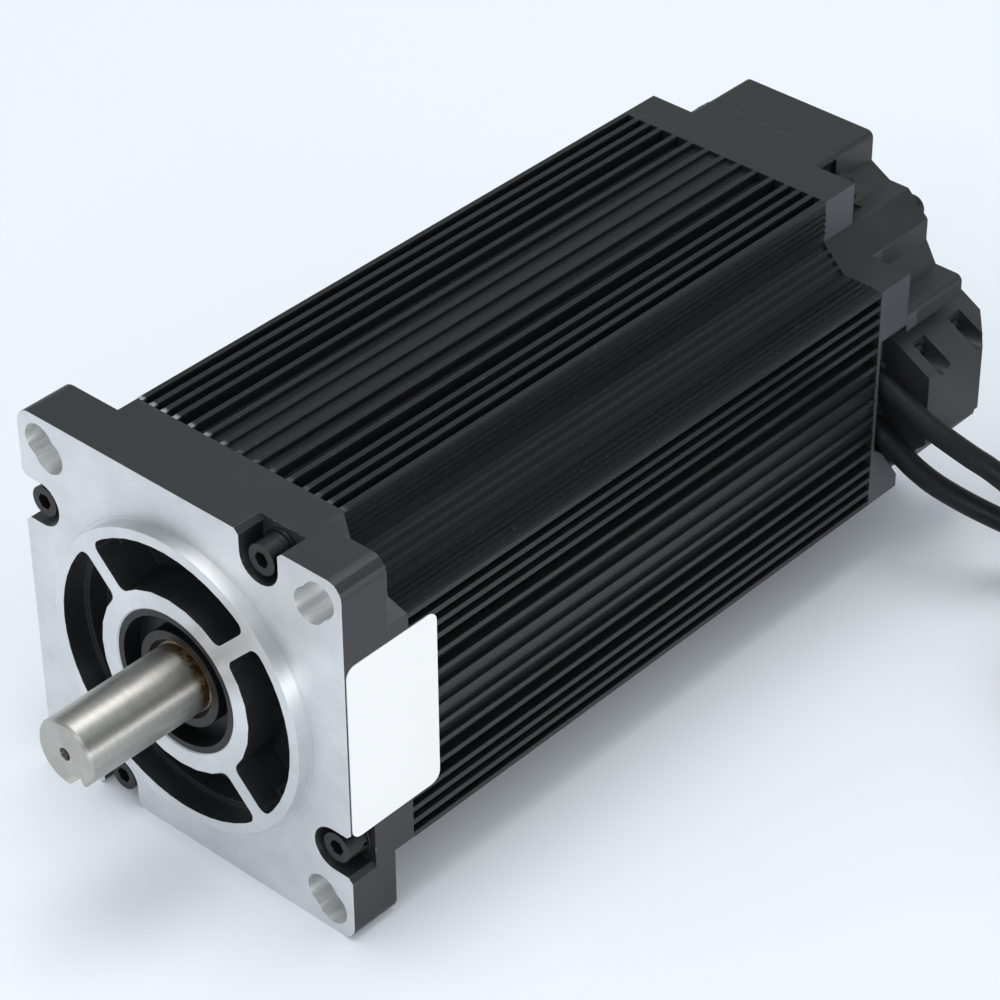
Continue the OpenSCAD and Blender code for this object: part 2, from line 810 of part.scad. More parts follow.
module wave_washer() {
    out_r = rear_bearing[1] / 2 - running_gap * 2;
    in_r = out_r - wave_washer_w;
    mid = rear_bearing_back + bearing_stop / 2;
    corners = [
        for (i = [0:wave_steps - 1])
            let (a = 360 * i / wave_steps, y = mid + wave_washer_rise * cos(wave_count * a)) each [
            [in_r * cos(a), y - wave_washer_t / 2, in_r * sin(a)],
            [out_r * cos(a), y - wave_washer_t / 2, out_r * sin(a)],
            [out_r * cos(a), y + wave_washer_t / 2, out_r * sin(a)],
            [in_r * cos(a), y + wave_washer_t / 2, in_r * sin(a)]
        ]
    ];
    faces = [
        for (i = [0:wave_steps - 1], k = [0:3])
            let (
                a = 4 * i + k,
                b = 4 * i + (k + 1) % 4,
                c = 4 * ((i + 1) % wave_steps) + k,
                d = 4 * ((i + 1) % wave_steps) + (k + 1) % 4
            )
            each [[a, c, b], [b, c, d]]
    ];
    color(ground_steel) polyhedron(points = corners, faces = faces);
}

// Shaft
module shaft() {
    encoder_back = cap_floor + encoder_journal_l;
    groove_y = rear_bearing_back + running_gap;
    key_end = key_l - shaft_l - key_w / 2;
    color(ground_steel) difference() {
        round_y() polygon([
            [0, -shaft_l], [shaft_r - shaft_chamfer, -shaft_l], [shaft_r, shaft_chamfer - shaft_l],
            [shaft_r, journal_front], [journal_r - journal_chamfer, journal_front],
            [journal_r, journal_front + journal_chamfer], [journal_r, front_bearing_back],
            [shaft_collar_r, front_bearing_back], [shaft_collar_r, core_front],
            [rotor_seat_r, core_front], [rotor_seat_r, core_back], [journal_r, core_back],
            [journal_r, rear_bearing_y], [rear_journal_r, rear_bearing_y], [rear_journal_r, groove_y],
            [rear_journal_r - retaining_groove, groove_y],
            [rear_journal_r - retaining_groove, groove_y + retaining_ring_t],
            [rear_journal_r, groove_y + retaining_ring_t], [rear_journal_r, cap_floor],
            [encoder_journal_r, cap_floor], [encoder_journal_r, encoder_back - journal_chamfer],
            [encoder_journal_r - journal_chamfer, encoder_back], [0, encoder_back]
        ]);
        rod(centre_hole_r, -shaft_l - cut, centre_hole_depth - shaft_l);
        rotate([0, -key_angle, 0]) {
            box([shaft_r - key_depth, -shaft_l - cut, -key_w / 2], [shaft_r + cut, key_end, key_w / 2]);
            translate([0, key_end, 0]) rod_x(key_w / 2, shaft_r - key_depth, shaft_r + cut);
        }
    }
}
module retaining_ring() {
    front = rear_bearing_back + running_gap;
    in_r = rear_journal_r - retaining_groove + seat_gap;
    color(dark_steel) difference() {
        pipe(in_r + retaining_ring_w, in_r, front, front + retaining_ring_t);
        box([0, front - cut, -in_r / 2], [rear_bearing[1], front + retaining_ring_t + cut, in_r / 2]);
    }
}

// Rotor
rotor_tooth_points = [
    for (k = [0:rotor_teeth - 1]) let (a = k * tooth_step) each [
        polar(rotor_r - tooth_depth, a - tooth_step / 4), polar(rotor_r, a - tooth_step / 4),
        polar(rotor_r, a), polar(rotor_r, a + tooth_step / 4),
        polar(rotor_r - tooth_depth, a + tooth_step / 4)
    ]
];
function rotor_core_y(k) = core_front + k * (rotor_core_t + magnet_t) + (k > 1 ? spacer_t - magnet_t : 0);
module rotor_core(k) {
    front = rotor_core_y(k);
    color(core_steel) rotate([0, k % 2 * tooth_step / 2, 0]) difference() {
        along_y(front, front + rotor_core_t) polygon(rotor_tooth_points);
        rod(rotor_seat_r + seat_gap, front - cut, front + rotor_core_t + cut);
    }
}
module rotor_magnet(k) {
    front = rotor_core_y(2 * k) + rotor_core_t;
    color(magnet_grey) pipe(magnet_r, rotor_seat_r + seat_gap, front, front + magnet_t);
}
module rotor_spacer() {
    front = rotor_core_y(1) + rotor_core_t;
    color(bare_metal) pipe(spacer_r, rotor_seat_r + seat_gap, front, front + spacer_t);
}

// Stator
shoe_a = (pole_teeth - 0.5) * tooth_step / 2;
half_pole = [
    polar(slot_r, pole_step / 2), polar(slot_r, pole_step / 3),
    [sqrt(slot_r * slot_r - pole_half * pole_half), pole_half],
    [stator_bore_r + shoe_t + shoe_slope, pole_half], polar(stator_bore_r + shoe_t, shoe_a)
];
pole_tooth_points = [
    for (k = [0:pole_teeth - 1]) let (a = shoe_a - k * tooth_step) each concat(
        [for (share = [0, 1, 2]) polar(stator_bore_r, a - share * tooth_step / 4)],
        k == pole_teeth - 1 ? [] :
            [for (share = [1, 2]) polar(stator_bore_r + tooth_depth, a - share * tooth_step / 2)]
    )
];
pole_points = concat(
    half_pole, pole_tooth_points,
    [for (k = [len(half_pole) - 1:-1:1]) [half_pole[k].x, -half_pole[k].y]]
);
stator_hole_points = [
    for (k = [0:pole_count - 1]) each [for (p = pole_points) turned_point(p, -pole_step * k)]
];
module stator_core() {
    color(core_steel) along_y(core_front, core_back) difference() {
        circle(r = stator_r);
        polygon(stator_hole_points);
    }
}
module insulator(front) {
    color(nylon) along_y(front, front + insulator_t) {
        difference() {
            circle(r = stator_r - coil_play);
            circle(r = slot_r);
        }
        for (k = [0:pole_count - 1]) rotate(k * pole_step)
            translate([coil_in_r, -coil_in_half]) square([slot_r - coil_in_r + coil_play, 2 * coil_in_half]);
    }
}
module stator_coils() {
    color(copper) for (k = [0:pole_count - 1]) rotate([0, k * pole_step, 0]) difference() {
        box(
            [coil_in_r, core_front - coil_end, -coil_out_half],
            [coil_out_r, core_back + coil_end, coil_out_half]
        );
        box(
            [coil_in_r - cut, core_front - insulator_t, -coil_in_half],
            [coil_out_r + cut, core_back + insulator_t, coil_in_half]
        );
    }
}
module phase_leads() {
    color("firebrick") for (o = phase_lead_offsets) {
        path = [
            for (k = [0:len(phase_lead_route) - 1]) phase_lead_route[k]
                + [phase_lead_x_shares[k] * o.x, -phase_lead_y_shares[k] * o.x, o.y] * phase_lead_spread
        ];
        swept_tube(path, phase_lead_r, coil_sides, last_step(path));
    }
}

// Rear cap and encoder cover
lobe_points = four_fold([
    [half, notch_wall], [notch_wall + lobe_facet, notch_wall],
    [notch_wall, notch_wall + lobe_facet], [notch_wall, half]
]);
cover_corner_radii = [arm_corner_r, 0, 0, root_fillet, root_fillet, 0, 0, arm_corner_r];
cover_points = rounded(
    four_fold([
        [half, arm_half], [arm_root, arm_half], [side_flat, flat_in], [side_flat, flat_out],
        [flat_out, side_flat], [flat_in, side_flat], [arm_half, arm_root], [arm_half, half]
    ]),
    [for (k = [0:3]) each cover_corner_radii]
);
cover_screw_places = [for (k = [0:3]) turned_point([cover_screw_at, cover_screw_at], 90 * k)];
module outlet_seat(front, back) {
    box([outlet_x, front, -half - cut], [half + cut, back, arm_lip_z]);
}
module outlet_screw_holes() {
    for (y = outlet_screw_ys) translate([0, y, outlet_screw_z])
        rod_x(outlet_screw_r + seat_gap, outlet_x - outlet_screw_bite - seat_gap, outlet_x + cut);
}
module cable_recess() {
    recess_back = lobe_back + cut;
    difference() {
        intersection() {
            union() {
                translate([recess_x, 0, 0]) rotate([90, 0, 90]) linear_extrude(half + cut - recess_x)
                    polygon([
                        for (p = recess_floor) [housing_back + p.x, p.y],
                        [recess_back, recess_floor[2].y], [recess_back, recess_top_z],
                        [housing_back, recess_top_z]
                    ]);
                at_xz([recess_x + recess_curve_r, recess_top_z])
                    rod(recess_curve_r, housing_back, recess_back);
            }
            box([recess_x, housing_back + recess_web, -half], [half + cut, lobe_back, half]);
        }
        at_xz(outlet_side_screw) rod(screw_head_r + free_gap, housing_back - cut, recess_back);
    }
}
function route_slope(route) = atan2(route[0].z - route[1].z, route[1].x - route[0].x);
module at_grommet(route) {
    translate(route[0]) rotate([0, 90 + route_slope(route), 0]) children();
}
module grommet_seat(route) {
    at_grommet(route) {
        translate([0, 0, -grommet_seat_l]) cylinder(r = grommet_r + seat_gap, h = 2 * grommet_seat_l);
        translate([0, 0, grommet_out_l]) cylinder(r = grommet_collar_r + seat_gap, h = grommet_seat_l);
    }
}
module rear_cap() {
    boss_r = rear_bearing[1] / 2 + rear_boss_wall;
    seat_r = rear_bearing[1] / 2 + seat_gap;
    front = housing_back - spigot_l;
    cavity_back = housing_back + cap_cavity_depth;
    boss_front = rear_bearing_y - rear_boss_rim;
    color(black_cast) difference() {
        union() {
            rod(spigot_r, front, housing_back);
            along_y(housing_back, lobe_back) polygon(lobe_points);
            along_y(lobe_back, cap_back) polygon(cover_points);
        }
        difference() {
            rod(cap_cavity_r, front - cut, cavity_back);
            rod(boss_r, boss_front, cavity_back + cut);
        }
        rod(seat_r, boss_front - cut, rear_seat_back);
        rod(shaft_hole_r, rear_seat_back - cut, cap_floor + cut);
        rod(cap_cavity_r, cap_floor, cap_back + cut);
        at_xz(lead_hole_at) rod(lead_hole_r, cavity_back - cut, cap_floor + cut);
        for (p = screw_places) at_xz(p) {
            rod(screw_pass_r, front - cut, lobe_back + cut);
            rod(scallop_r, lobe_back, cap_back + cut);
        }
        for (p = cover_screw_places) at_xz(p)
            rod(cover_screw_r + seat_gap, cap_back - cover_screw_bite - cut, cap_back + cut);
        rod(gasket_in_r + gasket_w, cap_back - gasket_t + gasket_squeeze, cap_back + cut);
        outlet_seat(lobe_back, cap_back + cut);
        outlet_screw_holes();
        cable_recess();
        grommet_seat(encoder_route);
        grommet_seat(power_route);
    }
}
module cover_gasket() {
    front = cap_back - gasket_t + gasket_squeeze;
    color(black_rubber) pipe(gasket_in_r + gasket_w - seat_gap, gasket_in_r + seat_gap, front, cap_back);
}
module encoder_cover() {
    color(black_cast) difference() {
        along_y(cap_back, cover_back) polygon(cover_points);
        rod(cap_cavity_r, cap_back - cut, cover_back - cover_wall);
        for (p = cover_screw_places) at_xz(p) rod(cover_screw_r + seat_gap, cap_back - cut, cover_back + cut);
        outlet_seat(cap_back - cut, cover_back + cut);
        outlet_screw_holes();
    }
}
module cross_slot(l, depth) {
    for (a = [0, 90]) rotate([0, a, 0])
        box([-l / 2, -depth, -cross_w / 2], [l / 2, cut, cross_w / 2]);
}
module cover_screws() {
    dome_r = cover_screw_head_r * 1.6;
    head_back = cover_back + cover_screw_head_h;
    color(dark_steel) for (p = cover_screw_places) at_xz(p) difference() {
        union() {
            intersection() {
                rod(cover_screw_head_r, cover_back, head_back);
                translate([0, head_back - dome_r, 0]) sphere(r = dome_r);
            }
            rod(cover_screw_r, cap_back - cover_screw_bite, cover_back + cover_screw_head_h / 2);
        }
        translate([0, head_back, 0]) cross_slot(cross_l, cross_depth);
    }
}

// Encoder
module encoder_hub() {
    color(bare_metal) difference() {
        union() {
            rod(hub_r_small, hub_y, hub_back);
            rod(hub_flange_r, hub_back - hub_flange_t, hub_back);
        }
        rod(encoder_journal_r + seat_gap, hub_y - cut, hub_back + cut);
        for (a = [0, 90]) rotate([0, a, 0]) translate([0, hub_screw_y, 0])
            rod_x(hub_screw_r + seat_gap, encoder_journal_r - seat_gap, hub_r_small + cut);
    }
}
module encoder_hub_screws() {
    color(dark_steel) for (a = [0, 90]) rotate([0, a, 0]) translate([0, hub_screw_y, 0])
        rod_x(hub_screw_r, encoder_journal_r + seat_gap * 2, encoder_journal_r + seat_gap * 2 + hub_screw_l);
}
module encoder_disc() {
    color([0.75, 0.85, 0.9]) pipe(disc_r, encoder_journal_r + seat_gap, hub_back, disc_back);
}
module encoder_board() {
    color(board_green) difference() {
        pipe(board_r, board_hole_r, board_y, board_back);
        for (a = standoff_angles) at_xz(polar(standoff_at, a))
            rod(board_screw_r + seat_gap, board_y - cut, board_back + cut);
    }
}
module encoder_reader() {
    color(black_rubber) box(
        [reader_x - reader_w / 2, board_y - reader_t, -reader_h / 2],
        [reader_x + reader_w / 2, board_y, reader_h / 2]
    );
}
module board_standoffs() {
    color(ground_steel) for (a = standoff_angles) at_xz(polar(standoff_at, a)) difference() {
        translate([0, cap_floor, 0]) rotate([-90, 0, 0])
            cylinder(r = standoff_r, h = board_y - cap_floor, $fn = 6);
        rod(board_screw_r + seat_gap, board_y - board_screw_l - cut, board_y + cut);
    }
}
module board_screws() {
    color(ground_steel) for (a = standoff_angles) at_xz(polar(standoff_at, a)) {
        rod(board_screw_r, board_y - board_screw_l, board_back + board_screw_head_h);
        rod(board_screw_head_r, board_back, board_back + board_screw_head_h);
    }
}
module board_connector() {
    low = [connector_at.x - connector_size.x / 2, board_back, connector_at.y - connector_size.z / 2];
    wall = [connector_wall, connector_wall, connector_wall];
    color(nylon) difference() {
        box(low, low + connector_size);
        box(low + wall, low + connector_size - wall + [0, connector_size.y, 0]);
    }
}
module encoder_leads() {
    color([0.2, 0.2, 0.22])
        swept_tube(encoder_lead_route, encoder_lead_r, lead_sides, last_step(encoder_lead_route));
}

// Cable outlet block and its screws
module cable_outlet() {
    section = concat(
        [[outlet_x, outlet_low[2].y]], [for (k = [2:-1:0]) outlet_low[k]],
        [[outlet_face_x, outlet_face_low_z], [outlet_face_x, outlet_edge_z],
         [outlet_shelf_x, outlet_top_z], [outlet_x, outlet_top_z]]
    );
    color(black_cast) difference() {
        intersection() {
            along_y(lobe_back, outlet_back) polygon(section);
            translate([0, 0, -half]) linear_extrude(frame_w) polygon([
                [outlet_x, lobe_back - cut], [outlet_face_x + cut, lobe_back - cut],
                [outlet_face_x + cut, outlet_cut_y - cut], [outlet_face_x, outlet_cut_y],
                [outlet_cut_x, outlet_back], [outlet_x, outlet_back]
            ]);
        }
        box(
            [outlet_x - cut, lobe_back + outlet_wall, outlet_low[0].y],
            [outlet_cut_x, cover_back - outlet_wall, outlet_cavity_top]
        );
        at_xz(outlet_side_screw)
            rod(screw_head_r + free_gap, lobe_back - cut, lobe_back + screw_head_h + free_gap);
        for (y = outlet_screw_ys) translate([0, y, outlet_screw_z]) {
            rod_x(outlet_channel_r, outlet_screw_x, outlet_face_x + cut);
            box(
                [outlet_screw_x, -outlet_channel_r, 0],
                [outlet_face_x + cut, outlet_channel_r, outlet_top_z]
            );
            rod_x(outlet_screw_r + seat_gap, outlet_x - cut, outlet_screw_x + cut);
        }
    }
}
module outlet_screws() {
    head_end = outlet_screw_x + outlet_screw_head_h;
    dome_r = outlet_screw_head_r * 1.3;
    color(dark_steel) for (y = outlet_screw_ys) translate([0, y, outlet_screw_z]) difference() {
        union() {
            intersection() {
                rod_x(outlet_screw_head_r, outlet_screw_x, head_end);
                translate([head_end - dome_r, 0, 0]) rotate([0, 0, 180]) sphere(r = dome_r);
            }
            rod_x(outlet_screw_r, outlet_x - outlet_screw_bite, outlet_screw_x + outlet_screw_head_h / 2);
        }
        translate([head_end, 0, 0]) rotate([0, 0, -90]) cross_slot(outlet_cross_l, outlet_cross_depth);
    }
}
module cable_grommets() {
    color(black_rubber) for (route = [encoder_route, power_route]) at_grommet(route) difference() {
        union() {
            translate([0, 0, -grommet_in_l]) cylinder(r = grommet_r, h = grommet_in_l + grommet_out_l);
            translate([0, 0, grommet_out_l]) cylinder(r = grommet_collar_r, h = grommet_collar_t);
        }
        translate([0, 0, -grommet_in_l - cut])
            cylinder(r = cable_r + seat_gap, h = grommet_in_l + grommet_out_l + grommet_collar_t + 2 * cut);
    }
}

// Coils of cable: two loops inward and outward again, then a tail that climbs onto them
coil_out_ring_r = coil_mid_r + coil_pitch / 2;
function heading(a) = [cos(a), sin(a), 0];
function coil_centre(route, a, turn) =
    route[len(route) - 1] + cable_d * heading(a) + coil_out_ring_r * turn * heading(a + 90);
function coil_radius(s) =
    s <= coil_turns ? coil_out_ring_r - coil_pitch * (1 - abs(s - coil_turns / 2) * 2 / coil_turns)
        : coil_out_ring_r - tail_in * smooth((s - coil_turns - tail_wait_turns) / tail_rise_turns);
function coil_height(s, top) =
    coil_layer * smooth((s - (coil_turns - climb_turns) / 2) / climb_turns)
    + (top - coil_layer) * smooth((s - coil_turns) / tail_rise_turns);
function coil_point(route, a, turn, top, s) =
    let (angle = a - 90 * turn + 360 * turn * s)
    coil_centre(route, a, turn) + coil_radius(s) * heading(angle) + [0, 0, coil_height(s, top)];
function coil_end_angle(a, turn, tail) = a + 360 * turn * (coil_turns + tail);
function coil_path(route, a, turn, tail, top) =
    let (
        n = ceil((coil_turns + tail) * coil_rings),
        end = coil_point(route, a, turn, top, coil_turns + tail)
    )
    concat(
        [route[len(route) - 1]],
        [for (i = [0:n]) coil_point(route, a, turn, top, (coil_turns + tail) * i / n)],
        [end + cable_d * heading(coil_end_angle(a, turn, tail))]
    );
function coil_gap(path) =
    let (last = len(path) - 1, skip = coil_rings / 2)
    min([for (i = [0:last - skip], j = [i + skip:last]) norm(path[i] - path[j])]) - cable_d;
function plug_height(thickness) = coil_layer + cable_r + seat_gap + thickness / 2;
encoder_coil = coil_path(
    encoder_route, encoder_heading, encoder_turn, encoder_tail_turns, plug_height(encoder_plug_t)
);
power_coil = coil_path(
    power_route, power_heading, power_turn, power_tail_turns, plug_height(power_plug_size.z)
);
echo(least_gap_of_encoder_coil = coil_gap(encoder_coil));
echo(least_gap_of_power_coil = coil_gap(power_coil));

module cable_run(route, a) {
    color(black_rubber) swept_tube(route, cable_r, cable_sides, heading(a));
}
module cable_coil(path) {
    color(black_rubber) swept_tube(path, cable_r, coil_sides, last_step(path));
}
module cable_tie(route, a, turn) {
    inner_strand = coil_radius(tie_turn);
    outer_strand = coil_radius(tie_turn + 1);
    low_r = inner_strand - cable_r - tie_play;
    high_r = outer_strand + cable_r + tie_play;
    low_z = -cable_r - tie_play;
    high_z = coil_layer + cable_r + tie_play;
    color(black_rubber) translate(coil_centre(route, a, turn))
        rotate([0, 0, a - 90 * turn + 360 * turn * tie_turn]) {
            difference() {
                box(
                    [low_r - tie_t, -tie_w / 2, low_z - tie_t],
                    [high_r + tie_t, tie_w / 2, high_z + tie_t]
                );
                box([low_r, -tie_w / 2 - cut, low_z], [high_r, tie_w / 2 + cut, high_z]);
            }
            box(
                [high_r + tie_t, -tie_head / 2, high_z - tie_head],
                [high_r + tie_t + tie_head * 0.8, tie_head / 2, high_z]
            );
        }
}
module at_plug(path, a, turn, tail) {
    translate(path[len(path) - 1]) rotate([0, 0, coil_end_angle(a, turn, tail)]) children();
}
module power_plug() {
    body_x = plug_entry_l - plug_overlap;
    half_w = power_plug_size.y / 2;
    half_t = power_plug_size.z / 2;
    front_x = body_x + power_plug_size.x;
    color("darkgreen") at_plug(power_coil, power_heading, power_turn, power_tail_turns) {
        rod_x(plug_entry_r, 0, plug_entry_l);
        difference() {
            translate([body_x, 0, 0]) rotate([90, 0, 90]) linear_extrude(power_plug_size.x)
                polygon(rounded(box_points(half_w, half_t), [for (k = [0:3]) plug_corner_r]));
            for (k = [0:power_pin_count - 1])
                translate([0, (k - (power_pin_count - 1) / 2) * power_pin_pitch, 0]) box(
                    [front_x - power_pin_depth, -power_pin_w / 2, -power_pin_w / 2],
                    [front_x + cut, power_pin_w / 2, power_pin_w / 2]
                );
        }
        translate([body_x + plug_overlap, 0, half_t]) box(
            [0, -power_latch.y / 2, -seat_gap],
            [power_latch.x, power_latch.y / 2, power_latch.z]
        );
    }
}
module at_encoder_plug() {
    at_plug(encoder_coil, encoder_heading, encoder_turn, encoder_tail_turns) children();
}
module encoder_plug() {
    body_x = plug_entry_l - plug_overlap;
    front_x = body_x + encoder_plug_l;
    color([0.16, 0.16, 0.17]) at_encoder_plug() {
        rod_x(plug_entry_r, 0, plug_entry_l);
        difference() {
            translate([0, 0, -encoder_plug_t / 2]) linear_extrude(encoder_plug_t) polygon(rounded(
                [
                    [body_x, -encoder_plug_neck], [body_x + encoder_plug_taper, -encoder_plug_half],
                    [front_x, -encoder_plug_half], [front_x, encoder_plug_half],
                    [body_x + encoder_plug_taper, encoder_plug_half], [body_x, encoder_plug_neck]
                ],
                [plug_corner_r, plug_corner_r, 0, 0, plug_corner_r, plug_corner_r]
            ));
            for (side = [-1, 1]) translate([0, side * thumb_at, 0])
                rod_x(thumb_shank_r + seat_gap, body_x, front_x + cut);
            for (side = [-1, 1]) translate([0, side * thumb_at, 0])
                rod_x(thumb_r + free_gap, -cut, body_x + thumb_start + thumb_l + free_gap);
        }
    }
}
module encoder_plug_shell() {
    plate_x = plug_entry_l - plug_overlap + encoder_plug_l;
    shell_x = plate_x + encoder_plate_t;
    color(ground_steel) at_encoder_plug() difference() {
        union() {
            box(
                [plate_x, -encoder_plate_half_w, -encoder_plate_half_t],
                [shell_x, encoder_plate_half_w, encoder_plate_half_t]
            );
            translate([shell_x, 0, 0]) rotate([90, 0, 90]) linear_extrude(encoder_shell_l) polygon([
                [encoder_shell_slant - encoder_shell_half_w, -encoder_shell_half_t],
                [encoder_shell_half_w - encoder_shell_slant, -encoder_shell_half_t],
                [encoder_shell_half_w, encoder_shell_half_t], [-encoder_shell_half_w, encoder_shell_half_t]
            ]);
        }
        for (side = [-1, 1]) translate([0, side * thumb_at, 0])
            rod_x(thumb_shank_r + seat_gap, plate_x - cut, shell_x + cut);
    }
}
module encoder_plug_screws() {
    body_x = plug_entry_l - plug_overlap;
    tip_x = body_x + encoder_plug_l + encoder_plate_t + encoder_shell_l;
    color(ground_steel) at_encoder_plug() for (side = [-1, 1]) translate([0, side * thumb_at, 0]) {
        rod_x(thumb_r, body_x + thumb_start, body_x + thumb_start + thumb_l);
        rod_x(thumb_shank_r, body_x + thumb_start, tip_x);
    }
}

front_flange();
housing();
name_label();
flange_screws();
flange_lock_washers();
flange_washers();
shaft_seal();
shaft();
rotor_core(0);  // rotor_core_1
rotor_core(1);  // rotor_core_2
rotor_core(2);  // rotor_core_3
rotor_core(3);  // rotor_core_4
rotor_magnet(0);  // rotor_magnet_1
rotor_magnet(1);  // rotor_magnet_2
rotor_spacer();
retaining_ring();
stator_core();
insulator(core_front - insulator_t);  // stator_insulator_front
insulator(core_back);  // stator_insulator_rear
stator_coils();
phase_leads();
outer_ring(front_bearing, front_bearing_y);  // front_bearing_outer_ring
inner_ring(front_bearing, front_bearing_y);  // front_bearing_inner_ring
balls(front_bearing, front_bearing_y);  // front_bearing_balls
ball_cage(front_bearing, front_bearing_y);  // front_bearing_cage
shields(front_bearing, front_bearing_y);  // front_bearing_shields
outer_ring(rear_bearing, rear_bearing_y);  // rear_bearing_outer_ring
inner_ring(rear_bearing, rear_bearing_y);  // rear_bearing_inner_ring
balls(rear_bearing, rear_bearing_y);  // rear_bearing_balls
ball_cage(rear_bearing, rear_bearing_y);  // rear_bearing_cage
shields(rear_bearing, rear_bearing_y);  // rear_bearing_shields
wave_washer();
rear_cap();
rear_cap_screws();
cover_gasket();
encoder_cover();
cover_screws();
encoder_hub();
encoder_hub_screws();
encoder_disc();
encoder_board();
encoder_reader();
board_standoffs();
board_screws();
board_connector();
encoder_leads();
cable_outlet();
outlet_screws();
cable_grommets();
cable_run(power_route, power_heading);  // power_cable
cable_coil(power_coil);  // power_cable_coil
cable_tie(power_route, power_heading, power_turn);  // power_cable_tie
power_plug();
cable_run(encoder_route, encoder_heading);  // encoder_cable
cable_coil(encoder_coil);  // encoder_cable_coil
cable_tie(encoder_route, encoder_heading, encoder_turn);  // encoder_cable_tie
encoder_plug();
encoder_plug_shell();
encoder_plug_screws();
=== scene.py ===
"""Looks of the closed-loop stepper motor: camera, materials, cables, floor and light.

In the CAD's frame and in metres, except where a comment says millimetres.
"""

import math

import bpy
from mathutils import Matrix, Vector


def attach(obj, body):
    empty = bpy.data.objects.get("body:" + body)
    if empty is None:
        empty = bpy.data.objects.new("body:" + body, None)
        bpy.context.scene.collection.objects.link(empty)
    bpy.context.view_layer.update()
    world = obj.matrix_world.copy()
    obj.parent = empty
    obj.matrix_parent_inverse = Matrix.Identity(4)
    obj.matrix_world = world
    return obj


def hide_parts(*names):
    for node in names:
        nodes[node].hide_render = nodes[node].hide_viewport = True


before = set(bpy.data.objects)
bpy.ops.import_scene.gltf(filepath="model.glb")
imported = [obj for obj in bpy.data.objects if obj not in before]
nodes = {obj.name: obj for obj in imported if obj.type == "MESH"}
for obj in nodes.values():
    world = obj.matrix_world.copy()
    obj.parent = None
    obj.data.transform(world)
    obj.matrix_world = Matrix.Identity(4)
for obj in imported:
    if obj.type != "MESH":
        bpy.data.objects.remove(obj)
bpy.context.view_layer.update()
MM = 0.001
FLOOR_Z = -0.055  # underside of the flange


# ---------------------------------------------------------------- camera
# Fitted to points of the motor in the photograph
PHOTO_WIDTH = 1000
FOCAL_PX = 3611.0
CENTRE_PX = (534.3, 521.6)
SENSOR_MM = 36.0
NEAR_CLIP, FAR_CLIP = 0.05, 30
CAMERA_PLACE = (0.5189, -0.4559, 0.5576)
AZIMUTH = math.radians(41.616)
ELEVATION = math.radians(36.705)
ROLL = math.radians(0.06)


def photo_camera():
    back = Vector((
        math.sin(AZIMUTH) * math.cos(ELEVATION),
        -math.cos(AZIMUTH) * math.cos(ELEVATION),
        math.sin(ELEVATION),
    ))
    right = (-back).cross(Vector((0, 0, 1))).normalized()
    up = back.cross(right)
    turned_right = math.cos(ROLL) * right - math.sin(ROLL) * up
    turned_up = math.sin(ROLL) * right + math.cos(ROLL) * up
    data = bpy.data.cameras.new("photo_camera")
    data.sensor_width = SENSOR_MM
    data.lens = FOCAL_PX / PHOTO_WIDTH * data.sensor_width
    data.shift_x = (PHOTO_WIDTH / 2 - CENTRE_PX[0]) / PHOTO_WIDTH
    data.shift_y = (CENTRE_PX[1] - PHOTO_WIDTH / 2) / PHOTO_WIDTH
    data.clip_start = NEAR_CLIP
    data.clip_end = FAR_CLIP
    cam = bpy.data.objects.new("photo_camera", data)
    bpy.context.scene.collection.objects.link(cam)
    axes = Matrix((turned_right, turned_up, back)).transposed().to_4x4()
    cam.matrix_world = Matrix.Translation(CAMERA_PLACE) @ axes
    bpy.context.scene.camera = cam


photo_camera()


# ---------------------------------------------------------------- node helpers
BEVEL_SAMPLES = 4
EDGE_FLAT, EDGE_SHARP = 0.985, 0.8  # cosines between which the Bevel node's normal counts as an edge
NOISE_LOW, NOISE_HIGH = 0.3, 0.7  # most of a noise lies between these
QUARTER_TURN = 0.25  # puts the stretched highlight across the turning marks instead of along them


